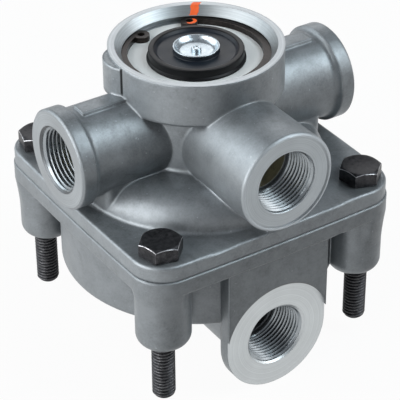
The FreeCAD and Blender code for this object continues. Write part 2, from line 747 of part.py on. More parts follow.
def guide_outer_seal():
    radius = COLLAR_BORE_R - SEAT_GAP - GUIDE_OUTER_CORD / 2
    return sealing_ring(radius, GUIDE_OUTER_CORD, guide_outer_seal_z())


def guide_inner_seal():
    radius = SLEEVE_R + RUNNING_GAP + GUIDE_INNER_CORD / 2
    return sealing_ring(radius, GUIDE_INNER_CORD, guide_inner_seal_z())


def retaining_ring():
    """Snap ring with a back wider than its ends, and two eyes for pliers."""
    low = GUIDE_TOP_Z
    top = low + RING_T
    gap = math.radians(RING_GAP_ANGLE)
    inner_r = RING_OUTER_R - (RING_BACK_W + RING_END_W) / 2
    shift = (RING_BACK_W - RING_END_W) / 2
    inner_at = (shift * math.cos(gap), shift * math.sin(gap))
    ring = cylinder(RING_OUTER_R, low, top).cut(cylinder(inner_r, low - OVER, top + OVER, inner_at))
    reach = 2 * RING_OUTER_R
    corners = [V(0, 0, low - OVER)]
    for side in (-1, 1):
        angle = gap + side * math.radians(RING_LUG_SPREAD)
        corners.append(V(reach * math.cos(angle), reach * math.sin(angle), low - OVER))
    wedge = Part.Face(Part.makePolygon(corners + [corners[0]])).extrude(V(0, 0, RING_T + 2 * OVER))
    ring = ring.cut(wedge)
    eye_r = RING_OUTER_R - RING_LUG_INSET
    lugs = []
    holes = []
    for side in (-1, 1):
        angle = gap + side * math.radians(RING_LUG_SPREAD)
        at = (eye_r * math.cos(angle), eye_r * math.sin(angle))
        lugs.append(cylinder(RING_LUG_R, low, top, at))
        holes.append(cylinder(RING_LUG_HOLE_R, low - OVER, top + OVER, at))
    within = cylinder(RING_OUTER_R, low, top)
    return ring.fuse([lug.common(within) for lug in lugs]).cut(holes)


def exhaust_flap():
    """Rubber disc with a sealing lip, a raised ring, a thin web and a thick middle."""
    base = GUIDE_TOP_Z
    web_low = FLAP_WEB_TOP - FLAP_WEB_T
    foot_in = FLAP_WEB_R - FLAP_EDGE
    hole = PIN_R + SEAT_GAP
    dish = FLAP_HUB_TOP - FLAP_HUB_DISH
    outline = [
        (hole, 0), (CAP_FLOOR_R, 0), (CAP_FLOOR_R + web_low, web_low), (foot_in - web_low, web_low),
        (foot_in, 0), (FLAP_LIP_R, 0), (FLAP_LIP_R, FLAP_LIP_H / 2), (FLAP_RING_R, FLAP_LIP_H),
        (FLAP_RING_R, FLAP_H - FLAP_EDGE), (FLAP_RING_R - FLAP_EDGE, FLAP_H),
        (FLAP_RING_R - FLAP_RING_W, FLAP_H), (FLAP_WEB_R, FLAP_WEB_TOP), (FLAP_HUB_R, FLAP_WEB_TOP),
        (FLAP_HUB_R, FLAP_HUB_TOP),
        (CAP_FLOOR_R, dish), (hole, dish),
    ]
    return turned([(r, base + z) for r, z in outline])


def flap_cap():
    """Dished washer pressed from sheet."""
    floor = GUIDE_TOP_Z + FLAP_HUB_TOP - FLAP_HUB_DISH
    rim = GUIDE_TOP_Z + FLAP_HUB_TOP
    slope = FLAP_HUB_DISH / (FLAP_HUB_R - CAP_FLOOR_R)
    rim_low = rim + slope * (CAP_R - FLAP_HUB_R)
    return turned([
        (PIN_R + SEAT_GAP, floor), (CAP_FLOOR_R, floor), (CAP_R, rim_low), (CAP_R, rim_low + CAP_SHEET),
        (CAP_FLOOR_R, floor + CAP_SHEET), (PIN_R + SEAT_GAP, floor + CAP_SHEET),
    ])


def flap_pin():
    """Pin from under the spider up through the flap and its cap."""
    foot = GUIDE_TOP_Z - GUIDE_SPIDER_T
    top = GUIDE_TOP_Z + FLAP_HUB_TOP - FLAP_HUB_DISH + CAP_SHEET + PIN_STANDS_OUT
    head = foot - PIN_HEAD_H
    return turned([
        (0, head), (PIN_HEAD_R - PIN_EDGE, head), (PIN_HEAD_R, head + PIN_EDGE), (PIN_HEAD_R, foot),
        (PIN_R, foot), (PIN_R, top - PIN_EDGE), (PIN_R - PIN_EDGE, top), (0, top),
    ])


def main():
    os.makedirs("parts", exist_ok=True)
    pieces = {
        "upper_body": upper_body,
        "control_cover": control_cover,
        "mounting_bolts": mounting_bolts,
        "housing_seal": housing_seal,
        "relay_piston": relay_piston,
        "piston_seal": piston_seal,
        "piston_guide_ring": piston_guide_ring,
        "valve_sleeve": valve_sleeve,
        "valve_rubber": valve_rubber,
        "rubber_retainer": rubber_retainer,
        "spring_washer": spring_washer,
        "valve_spring": valve_spring,
        "valve_guide": valve_guide,
        "guide_outer_seal": guide_outer_seal,
        "guide_inner_seal": guide_inner_seal,
        "retaining_ring": retaining_ring,
        "exhaust_flap": exhaust_flap,
        "flap_cap": flap_cap,
        "flap_pin": flap_pin,
    }
    for name, make in pieces.items():
        shape = make()
        shape.exportStep("parts/" + name + ".step")
        print(name, shape.isValid(), len(shape.Solids), round(shape.Volume, 1))


main()
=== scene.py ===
import bmesh
import bpy
import math
from mathutils import Matrix, Vector


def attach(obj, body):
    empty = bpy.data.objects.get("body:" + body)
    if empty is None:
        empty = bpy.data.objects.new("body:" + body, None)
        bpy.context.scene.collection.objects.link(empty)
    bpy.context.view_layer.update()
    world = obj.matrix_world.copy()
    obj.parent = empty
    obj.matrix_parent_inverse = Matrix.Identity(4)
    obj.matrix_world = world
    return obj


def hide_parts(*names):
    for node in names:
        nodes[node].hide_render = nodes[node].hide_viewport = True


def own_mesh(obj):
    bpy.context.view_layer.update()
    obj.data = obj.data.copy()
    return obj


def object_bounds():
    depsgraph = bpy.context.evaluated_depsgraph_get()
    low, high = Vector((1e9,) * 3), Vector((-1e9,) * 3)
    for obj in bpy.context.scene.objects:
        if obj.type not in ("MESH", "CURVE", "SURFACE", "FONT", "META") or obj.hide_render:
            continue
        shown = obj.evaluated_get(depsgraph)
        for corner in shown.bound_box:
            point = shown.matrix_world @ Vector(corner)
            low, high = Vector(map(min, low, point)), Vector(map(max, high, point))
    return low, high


# Looks of the relay valve, in the solids' own frame: +Z up towards the exhaust collar,
# -Y out of the supply port and the control port. Lengths are in millimetres until a mesh
# or a node takes them, where MM turns them into metres. Floor and lamps are in metres.

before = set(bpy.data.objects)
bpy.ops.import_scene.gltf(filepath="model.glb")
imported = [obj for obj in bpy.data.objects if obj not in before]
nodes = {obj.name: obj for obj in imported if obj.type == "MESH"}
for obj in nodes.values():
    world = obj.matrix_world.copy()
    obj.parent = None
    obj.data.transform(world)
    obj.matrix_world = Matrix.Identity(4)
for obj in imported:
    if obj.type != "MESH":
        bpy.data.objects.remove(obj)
cad_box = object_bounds()

MM = 0.001

# Sizes shared with the solids
MOUNT_Z = 0.0
PORT_AXIS_Z = 55.0
CONTROL_AXIS_Z = -8.7
DELIVERY_FACE = 54.5
DELIVERY_COLLAR_R = 17.2
SUPPLY_FACE = 53.3
SPOTFACE_DEPTH = 0.5
SPOTFACE_R = 16.4
CONTROL_FACE = 48.7
CONTROL_SPOTFACE_R = 20.6
COVER_FLANGE_Z = 23.8
BOSS_R = 9.4
BOSS_INSET = 0.8
COLLAR_TOP_Z = 82.0
COLLAR_R = 29.6
COLLAR_BORE_R = 25.0
COLLAR_MOUTH_DEPTH = 3.2
COLLAR_MOUTH_R = 27.2
PAD_R = 9.2
PAD_CENTRE_R = 23.1
PAD_ANGLE = 167.5
PAD_H = 11.0
GUIDE_TOP_Z = 76.4
FLANGE_TOP_Z = 35.8
THREAD_R = 11.0
THREAD_DEPTH = 15.0
CONTROL_THREAD_DEPTH = 16.0
MOUTH_CHAMFER = 0.7
PASSAGE_R = 9.4
BOLT_SPACING = 80.0
BOLT_R = 4.0
BOLT_SHANK_R = 3.6
BOLT_LENGTH = 58.0
BOLT_HEAD_AF = 13.0
BOLT_HEAD_H = 5.3
BOLT_HEAD_SLOPE = 30.0
BOLT_HEAD_TURN = 45.0
BOLT_TIP_CHAMFER = 1.2
RING_T = 2.0
RING_EYE_R = 22.6
RING_EYE_ANGLE = 63.2
FLAP_LIP_R = 16.7
FLAP_LIP_H = 1.1
FLAP_RING_R = 16.1
FLAP_RING_W = 1.8
FLAP_H = 3.7
FLAP_WEB_R = 13.2
FLAP_WEB_TOP = 2.5
FLAP_WEB_T = 1.4
FLAP_HUB_R = 7.6
FLAP_HUB_TOP = 3.6
FLAP_HUB_DISH = 1.6
CAP_R = 7.9
CAP_SHEET = 0.6
CAP_FLOOR_R = 6.0
PIN_R = 1.65
PIN_STANDS_OUT = 1.2
PIN_HEAD_R = 2.6
PIN_HEAD_H = 0.9
GUIDE_SPIDER_T = 3.4

# Blend from the cover's flange into a corner boss: height over and under the flange's
# underside, and the angles on each side within which it is there and is at its full width
SKIRT_OVER = 3.6
SKIRT_DOWN = 13.0
SKIRT_HALF = math.radians(74)
SKIRT_FULL = math.radians(46)
SKIRT_PROUD = 0.03
SKIRT_RUN_IN = 1.6
SKIRT_CURVE = 1.6
SKIRT_LIP = 1.2
SKIRT_SUNK = 1.0
SKIRT_FOOT_SUNK = 0.05

# Threads
THREAD_STEPS = 96
PORT_PITCH = 1.5
PORT_THREAD_DEEP = 0.80
THREAD_START = 0.4
SLEEVE_INTO_BORE = 0.12
SLEEVE_INTO_WALL = 0.3
BOLT_PITCH = 1.25
BOLT_THREAD_DEEP = 0.66
BOLT_CREST_R = BOLT_R - 0.02
BOLT_ROOT_R = BOLT_R - BOLT_THREAD_DEEP
TIP_R = BOLT_R - BOLT_TIP_CHAMFER
TIP_EDGE_W = 0.4
TIP_EDGE_H = 0.15
SHANK_RUN_IN = 0.4

# Bolt heads: washer face, crown with its shallow dish, the bright band round it, partly rubbed wear and
# partly painted highlight, and for each bolt the corner it stands in and the degrees it is turned from its
# place in the solids
HEAD_FLAT_R = BOLT_HEAD_AF / 2
HEAD_TOP_Z = FLANGE_TOP_Z + BOLT_HEAD_H
WASHER_FACE_R = HEAD_FLAT_R * 0.97
WASHER_FACE_H = 0.35
CROWN_R = HEAD_FLAT_R * 0.965
CROWN_SLOPE = math.tan(math.radians(BOLT_HEAD_SLOPE))
CROWN_DISH_R = CROWN_R * 0.80
CROWN_DISH_FLOOR_R = CROWN_R * 0.74
CROWN_DISH_DEEP = 0.12
WEAR_AND_GLINT_W = 0.13
WEAR_AND_GLINT_LOW = -0.12
WEAR_AND_GLINT_HIGH = -0.03
WEAR_AND_GLINT_WITHIN = 1.2
WEAR_AND_GLINT_FROM_R = HEAD_FLAT_R * 0.985
HEAD_TURNS = ((-1, -1, 0.5), (1, -1, -5), (1, 1, 22), (-1, 1, 32))

# Check mark in paint: direction at the rim and at the foot of the cone, width and thickness
PAINT_RIM_ANGLE = math.radians(56.8)
PAINT_FOOT_ANGLE = math.radians(59.2)
PAINT_HALF_W = 1.5
PAINT_T = 0.03
EYE_PAINT_T = 0.06
EYE_PAINT_R = 1.45
EYE_PAINT_W = 1.25
EYE_PAINT_ANGLE = math.radians(-68)
EYE_PAINT_SWEEP = math.radians(165)

# Exhaust flap with its disc inside the raised ring, cap and pin
PIN_HOLE_R = PIN_R + 0.05
CAP_FLOOR_Z = GUIDE_TOP_Z + (FLAP_HUB_TOP - FLAP_HUB_DISH)
DISC_R = FLAP_RING_R - FLAP_RING_W - 0.5
DISC_LOW_Z = GUIDE_TOP_Z + FLAP_WEB_TOP - 0.1

# Depth of a port's mouth, and how far out from the valve's axis a port's passage begins
MOUTH_DEPTH = 2.0
PASSAGE_FROM = 14.0

# Camera, fitted to the photograph: direction, distance and image scale
VIEW_AZIMUTH = math.radians(32.93)
VIEW_DOWN = math.radians(33.48)
VIEW_ROLL = math.radians(-0.47)
VIEW_DISTANCE = 622.266
FOCAL_PX = 1791.283
IMAGE_PX = 400
SHIFT_X = -0.8817
SHIFT_Y = 8.8646
FIT_TO_PART_Z = 30.0

# Noise cells per metre in the skin of the castings
WAVES = 60
CLOUDS = 75
STAINS = 120
PATCHES = 260
PITS = 420
SPECKS = 760
GRAIN = 1500

# Fine rings of the turned faces, and the side of the collar's mouth that gets painted light
ALONG_X = 0
ALONG_Y = 1
ALONG_Z = 2
RING_PITCH = 0.28
MOUTH_LIT_SIDE = (-0.84, 0.54, 0)
LIT_SIDE_FROM = 4.0
LIT_SIDE_TO = 26.0
LIT_SIDE_BRIGHTER = 1.75

# Surface of the castings, and colours
CAST_COLOUR = (0.217, 0.233, 0.245)
CAST_METAL = 0.72
CAST_ROUGH = (0.39, 0.51)
CAST_ROUND = 1.4
# Line of painted shade down the crease by the collar's pad: its width, its fade, and its fades at foot and
# top
CREVICE_R = 0.30
CREVICE_FADE_R = 0.75
CREVICE_FOOT_FADE = 1.5
CREVICE_TOP_FADE = 0.6
# Painted shade: the cover's colour is the body's made darker
COVER_PAINTED_SHADE = 0.86
# How much painted shade darkens the front faces of the body and of the cover
BODY_FRONT_SHADE = 0.36
COVER_FRONT_SHADE = 0.44
RIM_COLOUR = (0.50, 0.53, 0.55)
MOUTH_COLOUR = (0.28, 0.30, 0.31)
DELIVERY_FACE_COLOUR = (0.42, 0.45, 0.47)
DELIVERY_MOUTH_COLOUR = (0.125, 0.132, 0.138)
SUPPLY_FACE_COLOUR = (0.38, 0.41, 0.43)
CONTROL_FACE_COLOUR = (0.60, 0.63, 0.64)
# Passage: olive of oil, made much lighter as painted light deep in the bores
PASSAGE_OIL_AND_LIGHT_COLOUR = (0.66, 0.63, 0.49)
THREAD_COLOUR = (0.36, 0.39, 0.41)
PISTON_COLOUR = (0.38, 0.39, 0.40)
PALE_PLASTIC = (0.80, 0.815, 0.81)
WHITE_PLASTIC = (0.70, 0.70, 0.66)
PAINT_COLOUR = (0.92, 0.13, 0.02)
SEAL_TONES = ((0.003, 0.003, 0.004), (0.008, 0.008, 0.009))
# The flap's disc: rubber tones lighter and bluer than the seals', as painted sheen
DISC_SHEEN_TONES = ((0.006, 0.009, 0.014), (0.012, 0.016, 0.023))

# Stage: floor with half its side, and the studio from the horizon, at 0, to straight up, at 1
FLOOR_HALF = 6.0
FLOOR_GREY = 0.60
FLOOR_WHITE_SHARE = 0.95
STUDIO_TINT = (0.95, 0.97, 1.0)
STUDIO_LIT = 0.10
STUDIO_SHOWN = 1.0
STUDIO_FALL = [(0.05, (1.0, 1.0, 1.0)), (0.22, (0.36, 0.37, 0.39)), (0.65, (0.22, 0.23, 0.25))]

# Softboxes: name, place in metres, side in metres, watts, tint
LAMP_TARGET = Vector((0, 0, 0.03))
LAMPS = [
    ("key_left", (-0.86, 0.06, 0.38), 0.90, 10.8, (0.97, 0.99, 1.0)),
    ("side_right", (0.66, -0.50, 0.38), 0.45, 1.5, (1.0, 1.0, 1.0)),
    ("top_right", (0.41, -0.46, 0.715), 0.56, 4.8, (0.84, 0.95, 1.0)),
    ("back_left", (-0.48, 0.62, 0.49), 0.66, 2.9, (0.88, 0.96, 1.0)),
    ("back_right", (0.38, 0.63, 0.50), 0.45, 1.0, (1.0, 1.0, 1.0)),
]


# Camera

def place_camera():
    az, down, roll = VIEW_AZIMUTH, VIEW_DOWN, VIEW_ROLL
    ahead = Vector((math.sin(az) * math.cos(down), math.cos(az) * math.cos(down), -math.sin(down)))
    level = Vector((math.cos(az), -math.sin(az), 0))
    upward = level.cross(ahead)
    right = level * math.cos(roll) + upward * math.sin(roll)
    up = -level * math.sin(roll) + upward * math.cos(roll)
    at = -VIEW_DISTANCE * ahead - SHIFT_X * right - SHIFT_Y * up + Vector((0, 0, FIT_TO_PART_Z))
    data = bpy.data.cameras.new("camera")
    data.sensor_width = 36.0
    data.lens = data.sensor_width * FOCAL_PX / IMAGE_PX
    data.clip_start = 0.01
    data.clip_end = 50.0
    camera = bpy.data.objects.new("camera", data)
    turn = Matrix((right, up, -ahead)).transposed().to_4x4()
    camera.matrix_world = Matrix.Translation(at * MM) @ turn
    bpy.context.scene.collection.objects.link(camera)
    bpy.context.scene.camera = camera


# Materials

class Look:
    """A material's node tree, with short calls for the nodes it uses."""

    def __init__(self, name):
        self.material = bpy.data.materials.new(name)
        self.material.use_nodes = True
        self.tree = self.material.node_tree
        self.shader = self.tree.nodes["Principled BSDF"]
        coords = self.tree.nodes.new("ShaderNodeTexCoord")
        self.coords = coords.outputs["Object"]
        self.facing = coords.outputs["Normal"]

    def node(self, kind, **values):
        made = self.tree.nodes.new(kind)
        for key, value in values.items():
            setattr(made, key, value)
        return made

    def link(self, source, target):
        self.tree.links.new(source, target)

    def set(self, **values):
        for key, value in values.items():
            self.shader.inputs[key.replace("_", " ")].default_value = value

    def colour(self, source):
        self.link(source, self.shader.inputs["Base Color"])

    def rough(self, source):
        self.link(source, self.shader.inputs["Roughness"])

    def normal(self, source):
        self.link(source, self.shader.inputs["Normal"])

    def noise(self, scale, detail=3.0, roughness=0.55, distortion=0.0, vector=None):
        made = self.node("ShaderNodeTexNoise")
        made.inputs["Scale"].default_value = scale
        made.inputs["Detail"].default_value = detail
        made.inputs["Roughness"].default_value = roughness
        made.inputs["Distortion"].default_value = distortion
        self.link(vector or self.coords, made.inputs["Vector"])
        return made.outputs["Fac"]

    def span(self, value, low, high, to_low, to_high):
        made = self.node("ShaderNodeMapRange")
        for key, number in (("From Min", low), ("From Max", high), ("To Min", to_low), ("To Max", to_high)):
            made.inputs[key].default_value = number
        self.link(value, made.inputs["Value"])
        return made.outputs["Result"]

    def ramp(self, value, stops):
        made = self.node("ShaderNodeValToRGB")
        set_stops(made.color_ramp, stops)
        self.link(value, made.inputs["Fac"])
        return made.outputs["Color"]

    def mix(self, factor, first, second):
        made = self.node("ShaderNodeMix", data_type="RGBA")
        for socket, value in ((made.inputs[0], factor), (made.inputs[6], first), (made.inputs[7], second)):
            if isinstance(value, (int, float)):
                socket.default_value = value
            elif isinstance(value, tuple):
                socket.default_value = (*value, 1)
            else:
                self.link(value, socket)
        return made.outputs[2]

    def math(self, operation, first, second=None):
        made = self.node("ShaderNodeMath", operation=operation)
        for socket, value in zip(made.inputs, (first, second)):
            if value is None:
                continue
            if isinstance(value, (int, float)):
                socket.default_value = value
            else:
                self.link(value, socket)
        return made.outputs[0]

    def vector(self, operation, first, second=None):
        made = self.node("ShaderNodeVectorMath", operation=operation)
        for socket, value in zip(made.inputs, (first, second)):
            if value is None:
                continue
            if isinstance(value, (tuple, list)):
                socket.default_value = value
            else:
                self.link(value, socket)
        return made

    def bevel(self, radius_mm, samples=6):
        made = self.node("ShaderNodeBevel", samples=samples)
        made.inputs["Radius"].default_value = radius_mm * MM
        return made.outputs["Normal"]

    def edges(self, radius_mm, low, high):
        """1 along edges, where the rounded normal leans away from the face's own."""
        geometry = self.node("ShaderNodeNewGeometry")
        dot = self.vector("DOT_PRODUCT", self.bevel(radius_mm), geometry.outputs["Normal"])
        return self.span(self.math("SUBTRACT", 1.0, dot.outputs["Value"]), low, high, 0.0, 1.0)

    def bump(self, height, distance_mm, strength=1.0, normal=None):
        made = self.node("ShaderNodeBump")
        made.inputs["Strength"].default_value = strength
        made.inputs["Distance"].default_value = distance_mm * MM
        self.link(height, made.inputs["Height"])
        if normal is not None:
            self.link(normal, made.inputs["Normal"])
        return made.outputs["Normal"]


def set_stops(ramp, stops):
    """Give a ramp its places and colours."""
    while len(ramp.elements) < len(stops):
        ramp.elements.new(0.5)
    for element, (place, colour) in zip(ramp.elements, stops):
        element.position = place
        element.color = (*colour, 1)


def shade(colour, share):
    return tuple(c * share for c in colour)


def cast_look(name, colour, round_mm, crevice_shade=None, front_shade=0.0, lit_end=None):
    """Blasted die casting: satin skin with grain, clouds, stains, specks, and edges made lighter, partly as
    rubbed wear and partly as painted highlight.

    front_shade is how much painted shade darkens its front, on the side of the supply port; a casting with
    it also gets painted light on faces that turn to the left.
    lit_end is the reach in -Y beyond which a front face gets a painted highlight in place of that shade.
    """
    look = Look(name)
    grain = look.noise(GRAIN, 2, 0.5)
    tone = cast_tone(look, colour, grain)
    if front_shade:
        tone = front_shade_and_left_light_tone(look, tone, colour, front_shade, lit_end)
    if crevice_shade is not None:
        # Painted shade: a near-black line down the crease where the pad meets the collar
        tone = look.mix(upright_line(look, *crevice_shade), tone, shade(colour, 0.06))
    look.colour(tone)
    look.set(Metallic=CAST_METAL)
    look.rough(look.span(look.noise(140, 4, 0.6), 0.3, 0.7, *CAST_ROUGH))
    skin = look.bump(grain, 0.03, 0.7, look.bevel(round_mm, 8))
    skin = look.bump(look.noise(PITS, 3, 0.6), 0.07, 0.45, skin)
    look.normal(look.bump(look.noise(WAVES, 2, 0.5), 0.3, 0.3, skin))
    return look.material


def cast_tone(look, colour, grain):
    """Colour of a cast skin, with bright specks, and edges lighter, partly as wear and partly as painted
    highlight.
    """
    clouds = look.noise(CLOUDS, 5, 0.65, 0.5)
    patches = look.noise(PATCHES, 4, 0.65, 0.4)
    tone = look.ramp(clouds, [(0.32, shade(colour, 0.76)), (0.68, shade(colour, 1.16))])
    tone = look.mix(look.span(patches, 0.38, 0.64, 0.0, 0.42), tone, shade(colour, 1.42))
    stains = look.span(look.noise(STAINS, 5, 0.72, 0.8), 0.56, 0.72, 0.0, 0.50)
    tone = look.mix(stains, tone, shade(colour, 0.52))
    tone = look.mix(look.span(grain, 0.35, 0.65, 0.0, 0.30), tone, shade(colour, 1.50))
    specks = look.span(look.noise(SPECKS, 2, 0.5), 0.71, 0.76, 0.0, 0.7)
    tone = look.mix(specks, tone, shade(colour, 1.9))
    uneven = look.span(look.noise(210, 3, 0.7), 0.38, 0.60, 0.1, 0.9)
    # Edges and junctions made lighter: partly wear, partly painted highlight
    wear_and_edge_highlight = look.math("MULTIPLY", look.edges(0.42, 0.03, 0.28), uneven)
    return look.mix(wear_and_edge_highlight, tone, shade(colour, 2.3))


def front_shade_and_left_light_tone(look, tone, colour, front_shade, lit_end):
    """Painted shade on faces that turn to the front and painted light on faces that turn to the left, with
    a painted highlight in place of the shade beyond lit_end.
    """
    front = look.vector("DOT_PRODUCT", look.facing, (0, -1, 0)).outputs["Value"]
    # Painted shade on faces that turn to the front (-Y)
    front_shade_share = look.span(front, 0.65, 1.0, 0.0, front_shade)
    if lit_end is not None:
        split = look.node("ShaderNodeSeparateXYZ")
        look.link(look.coords, split.inputs[0])
        kept = look.span(split.outputs["Y"], -lit_end * MM, -(lit_end - 3) * MM, 0.0, 1.0)
        front_shade_share = look.math("MULTIPLY", front_shade_share, kept)
        # Painted highlight on front faces beyond lit_end, where the painted shade is left out
        brightened_share = look.math("SUBTRACT", look.span(front, 0.2, 0.7, 0.0, 0.7), kept)
        tone = look.mix(look.math("MAXIMUM", brightened_share, 0.0), tone, shade(colour, 2.0))
    tone = look.mix(front_shade_share, tone, (0.0, 0.0, 0.0))
    # Painted light on faces that turn to the left (-X)
    left = look.vector("DOT_PRODUCT", look.facing, (-1, 0, 0)).outputs["Value"]
    return look.mix(look.span(left, 0.2, 1.0, 0.0, 0.30), tone, shade(colour, 1.6))


def upright_line(look, x, y, low, high):
    """1 along a short upright line at x, y, fading out round it."""
    offset = look.vector("SUBTRACT", look.coords, (x * MM, y * MM, 0))
    flat = look.vector("MULTIPLY", offset.outputs["Vector"], (1, 1, 0))
    away = look.vector("LENGTH", flat.outputs["Vector"]).outputs["Value"]
    near = look.span(away, CREVICE_R * MM, CREVICE_FADE_R * MM, 1.0, 0.0)
    split = look.node("ShaderNodeSeparateXYZ")
    look.link(look.coords, split.inputs[0])
    above = look.span(split.outputs["Z"], low * MM, (low + CREVICE_FOOT_FADE) * MM, 0.0, 1.0)
    below = look.span(split.outputs["Z"], (high - CREVICE_TOP_FADE) * MM, high * MM, 1.0, 0.0)
    return look.math("MULTIPLY", near, look.math("MULTIPLY", above, below))


def turned_look(name, colour, rings_axis, centre, anisotropy=0.55, lit_side=None):
    """Machined aluminium face with fine rings round one axis, and painted light on one side."""
    look = Look(name)
    offset = look.vector("SUBTRACT", look.coords, [c * MM for c in centre])
    keep = [0.0 if i == rings_axis else 1.0 for i in range(3)]
    flat = look.vector("MULTIPLY", offset.outputs["Vector"], keep)
    radius = look.vector("LENGTH", flat.outputs["Vector"]).outputs["Value"]
    rings = look.math("SINE", look.math("MULTIPLY", radius, 2 * math.pi / (RING_PITCH * MM)))
    height = look.math("ADD", look.math("MULTIPLY", rings, 0.5), look.noise(700, 2, 0.6))
    look.normal(look.bump(height, 0.014, 0.5, look.bevel(0.25)))
    tone = look.ramp(look.noise(90, 3, 0.6), [(0.3, shade(colour, 0.90)), (0.7, colour)])
    if lit_side is not None:
        # Painted light, brighter towards lit_side
        along = look.vector("DOT_PRODUCT", offset.outputs["Vector"], lit_side).outputs["Value"]
        lit_share = look.span(along, LIT_SIDE_FROM * MM, LIT_SIDE_TO * MM, 0.0, 1.0)
        tone = look.mix(lit_share, tone, shade(colour, LIT_SIDE_BRIGHTER))
    place = look.node("ShaderNodeCombineXYZ")
    look.link(radius, place.inputs[0])
    streaks = look.noise(1900, 3, 0.7, vector=place.outputs[0])
    look.colour(look.mix(look.span(streaks, 0.35, 0.65, 0.0, 0.45), tone, shade(colour, 0.55)))
    look.set(Metallic=0.9)
    look.rough(look.span(streaks, 0.3, 0.7, 0.28, 0.42))
    axis = [1.0 - k for k in keep]
    tangent = look.vector("CROSS_PRODUCT", flat.outputs["Vector"], axis)
    unit = look.vector("NORMALIZE", tangent.outputs["Vector"])
    look.link(unit.outputs["Vector"], look.shader.inputs["Tangent"])
    look.set(Anisotropic=anisotropy)
    return look.material


def thread_look(name, colour):
    """Bright cut metal."""
    look = Look(name)
    look.colour(look.ramp(look.noise(260, 3, 0.6), [(0.3, shade(colour, 0.85)), (0.7, colour)]))
    look.set(Metallic=1.0)
    look.rough(look.span(look.noise(500, 2, 0.5), 0.3, 0.7, 0.25, 0.33))
    look.normal(look.bump(look.noise(300, 2, 0.5), 0.01, 0.3))
    return look.material


def black_steel_look(name):
    """Black oxide, with edges lighter, partly as wear and partly as painted highlight."""
    look = Look(name)
    patches = look.noise(700, 4, 0.65)
    base = look.ramp(patches, [(0.35, (0.016, 0.016, 0.018)), (0.75, (0.070, 0.068, 0.072))])
    uneven = look.span(look.noise(420, 3, 0.7), 0.35, 0.6, 0.2, 0.9)
    wear_and_edge_highlight = look.math("MULTIPLY", look.edges(0.22, 0.03, 0.26), uneven)
    look.colour(look.mix(wear_and_edge_highlight, base, (0.55, 0.55, 0.57)))
    look.set(Metallic=0.8)
    look.rough(look.span(patches, 0.3, 0.7, 0.34, 0.50))
    look.normal(look.bump(patches, 0.06, 0.45, look.bevel(0.25)))
    return look.material


def worn_and_highlight_steel_look(name):
    """Bright band on a crown's edge: steel rubbed through its black skin, unevenly, and partly a painted
    highlight.
    """
    look = Look(name)
    brightened_share = look.span(look.noise(380, 4, 0.7), 0.36, 0.56, 0.0, 1.0)
    look.colour(look.mix(brightened_share, (0.03, 0.03, 0.032), (0.62, 0.61, 0.63)))
    look.set(Metallic=0.9)
    look.rough(look.span(look.noise(900, 3, 0.6), 0.3, 0.7, 0.28, 0.42))
    look.normal(look.bump(look.noise(900, 3, 0.6), 0.02, 0.4))
    return look.material


def spring_steel_look(name):
    """Phosphated spring steel, brown-black with a dull sheen, its edges lighter, partly as wear and partly
    as painted highlight.
    """
    look = Look(name)
    patches = look.noise(600, 3, 0.6)
    base = look.ramp(patches, [(0.35, (0.020, 0.016, 0.015)), (0.75, (0.050, 0.042, 0.038))])
    # Edges made lighter: partly wear, partly painted highlight
    wear_and_edge_highlight = look.math("MULTIPLY", look.edges(0.2, 0.04, 0.35), 0.4)
    look.colour(look.mix(wear_and_edge_highlight, base, (0.28, 0.25, 0.23)))
    look.set(Metallic=0.8)
    look.rough(look.span(patches, 0.3, 0.7, 0.28, 0.40))
    look.normal(look.bump(patches, 0.02, 0.4, look.bevel(0.25)))
    return look.material


def bright_steel_look(name, rough=(0.14, 0.24)):
    """Zinc plate with a faint blue cast."""
    look = Look(name)
    tone = look.ramp(look.noise(300, 3, 0.6), [(0.3, (0.46, 0.52, 0.56)), (0.7, (0.58, 0.64, 0.68))])
    look.colour(tone)
    look.set(Metallic=1.0)
    look.rough(look.span(look.noise(800, 3, 0.6), 0.3, 0.7, *rough))
    look.normal(look.bump(look.noise(700, 3, 0.5), 0.02, 0.35, look.bevel(0.2)))
    return look.material


def rubber_look(name, tones, specular):
    """Black rubber, faintly clouded between two tones."""
    look = Look(name)
    clouds = look.noise(180, 4, 0.6)
    look.colour(look.ramp(clouds, [(0.3, tones[0]), (0.7, tones[1])]))
    look.set(Metallic=0.0, Specular_IOR_Level=specular)
    look.rough(look.span(clouds, 0.3, 0.7, 0.30, 0.42))
    look.normal(look.bump(look.noise(2200, 2, 0.5), 0.015, 0.4, look.bevel(0.15)))
    return look.material


def plastic_look(name, colour):
    """Moulded plastic, dull."""
    look = Look(name)
    clouds = look.noise(120, 3, 0.6)
    look.colour(look.ramp(clouds, [(0.3, shade(colour, 0.95)), (0.7, colour)]))
    look.rough(look.span(clouds, 0.3, 0.7, 0.42, 0.52))
    look.normal(look.bump(look.noise(1600, 2, 0.5), 0.01, 0.35, look.bevel(0.3)))
    return look.material


def paint_look(name, colour):
    """Marking paint, brushed on."""
    look = Look(name)
    patches = look.noise(900, 3, 0.6)
    look.colour(look.ramp(patches, [(0.3, shade(colour, 0.88)), (0.7, colour)]))
    look.rough(look.span(patches, 0.3, 0.7, 0.45, 0.6))
    look.normal(look.bump(patches, 0.03, 0.5))
    return look.material


def give(node, material):
    """Make a material the first one of a solid."""
    slots = nodes[node].data.materials
    if len(slots):
        slots[0] = material
    else:
        slots.append(material)


def give_faces(node, material, chosen):
    """Assign a material to the faces whose centre and normal pass a test."""
    mesh = nodes[node].data
    mesh.materials.append(material)
    index = len(mesh.materials) - 1
    for face in mesh.polygons:
        if chosen(face.center / MM, face.normal):
            face.material_index = index


# Meshes

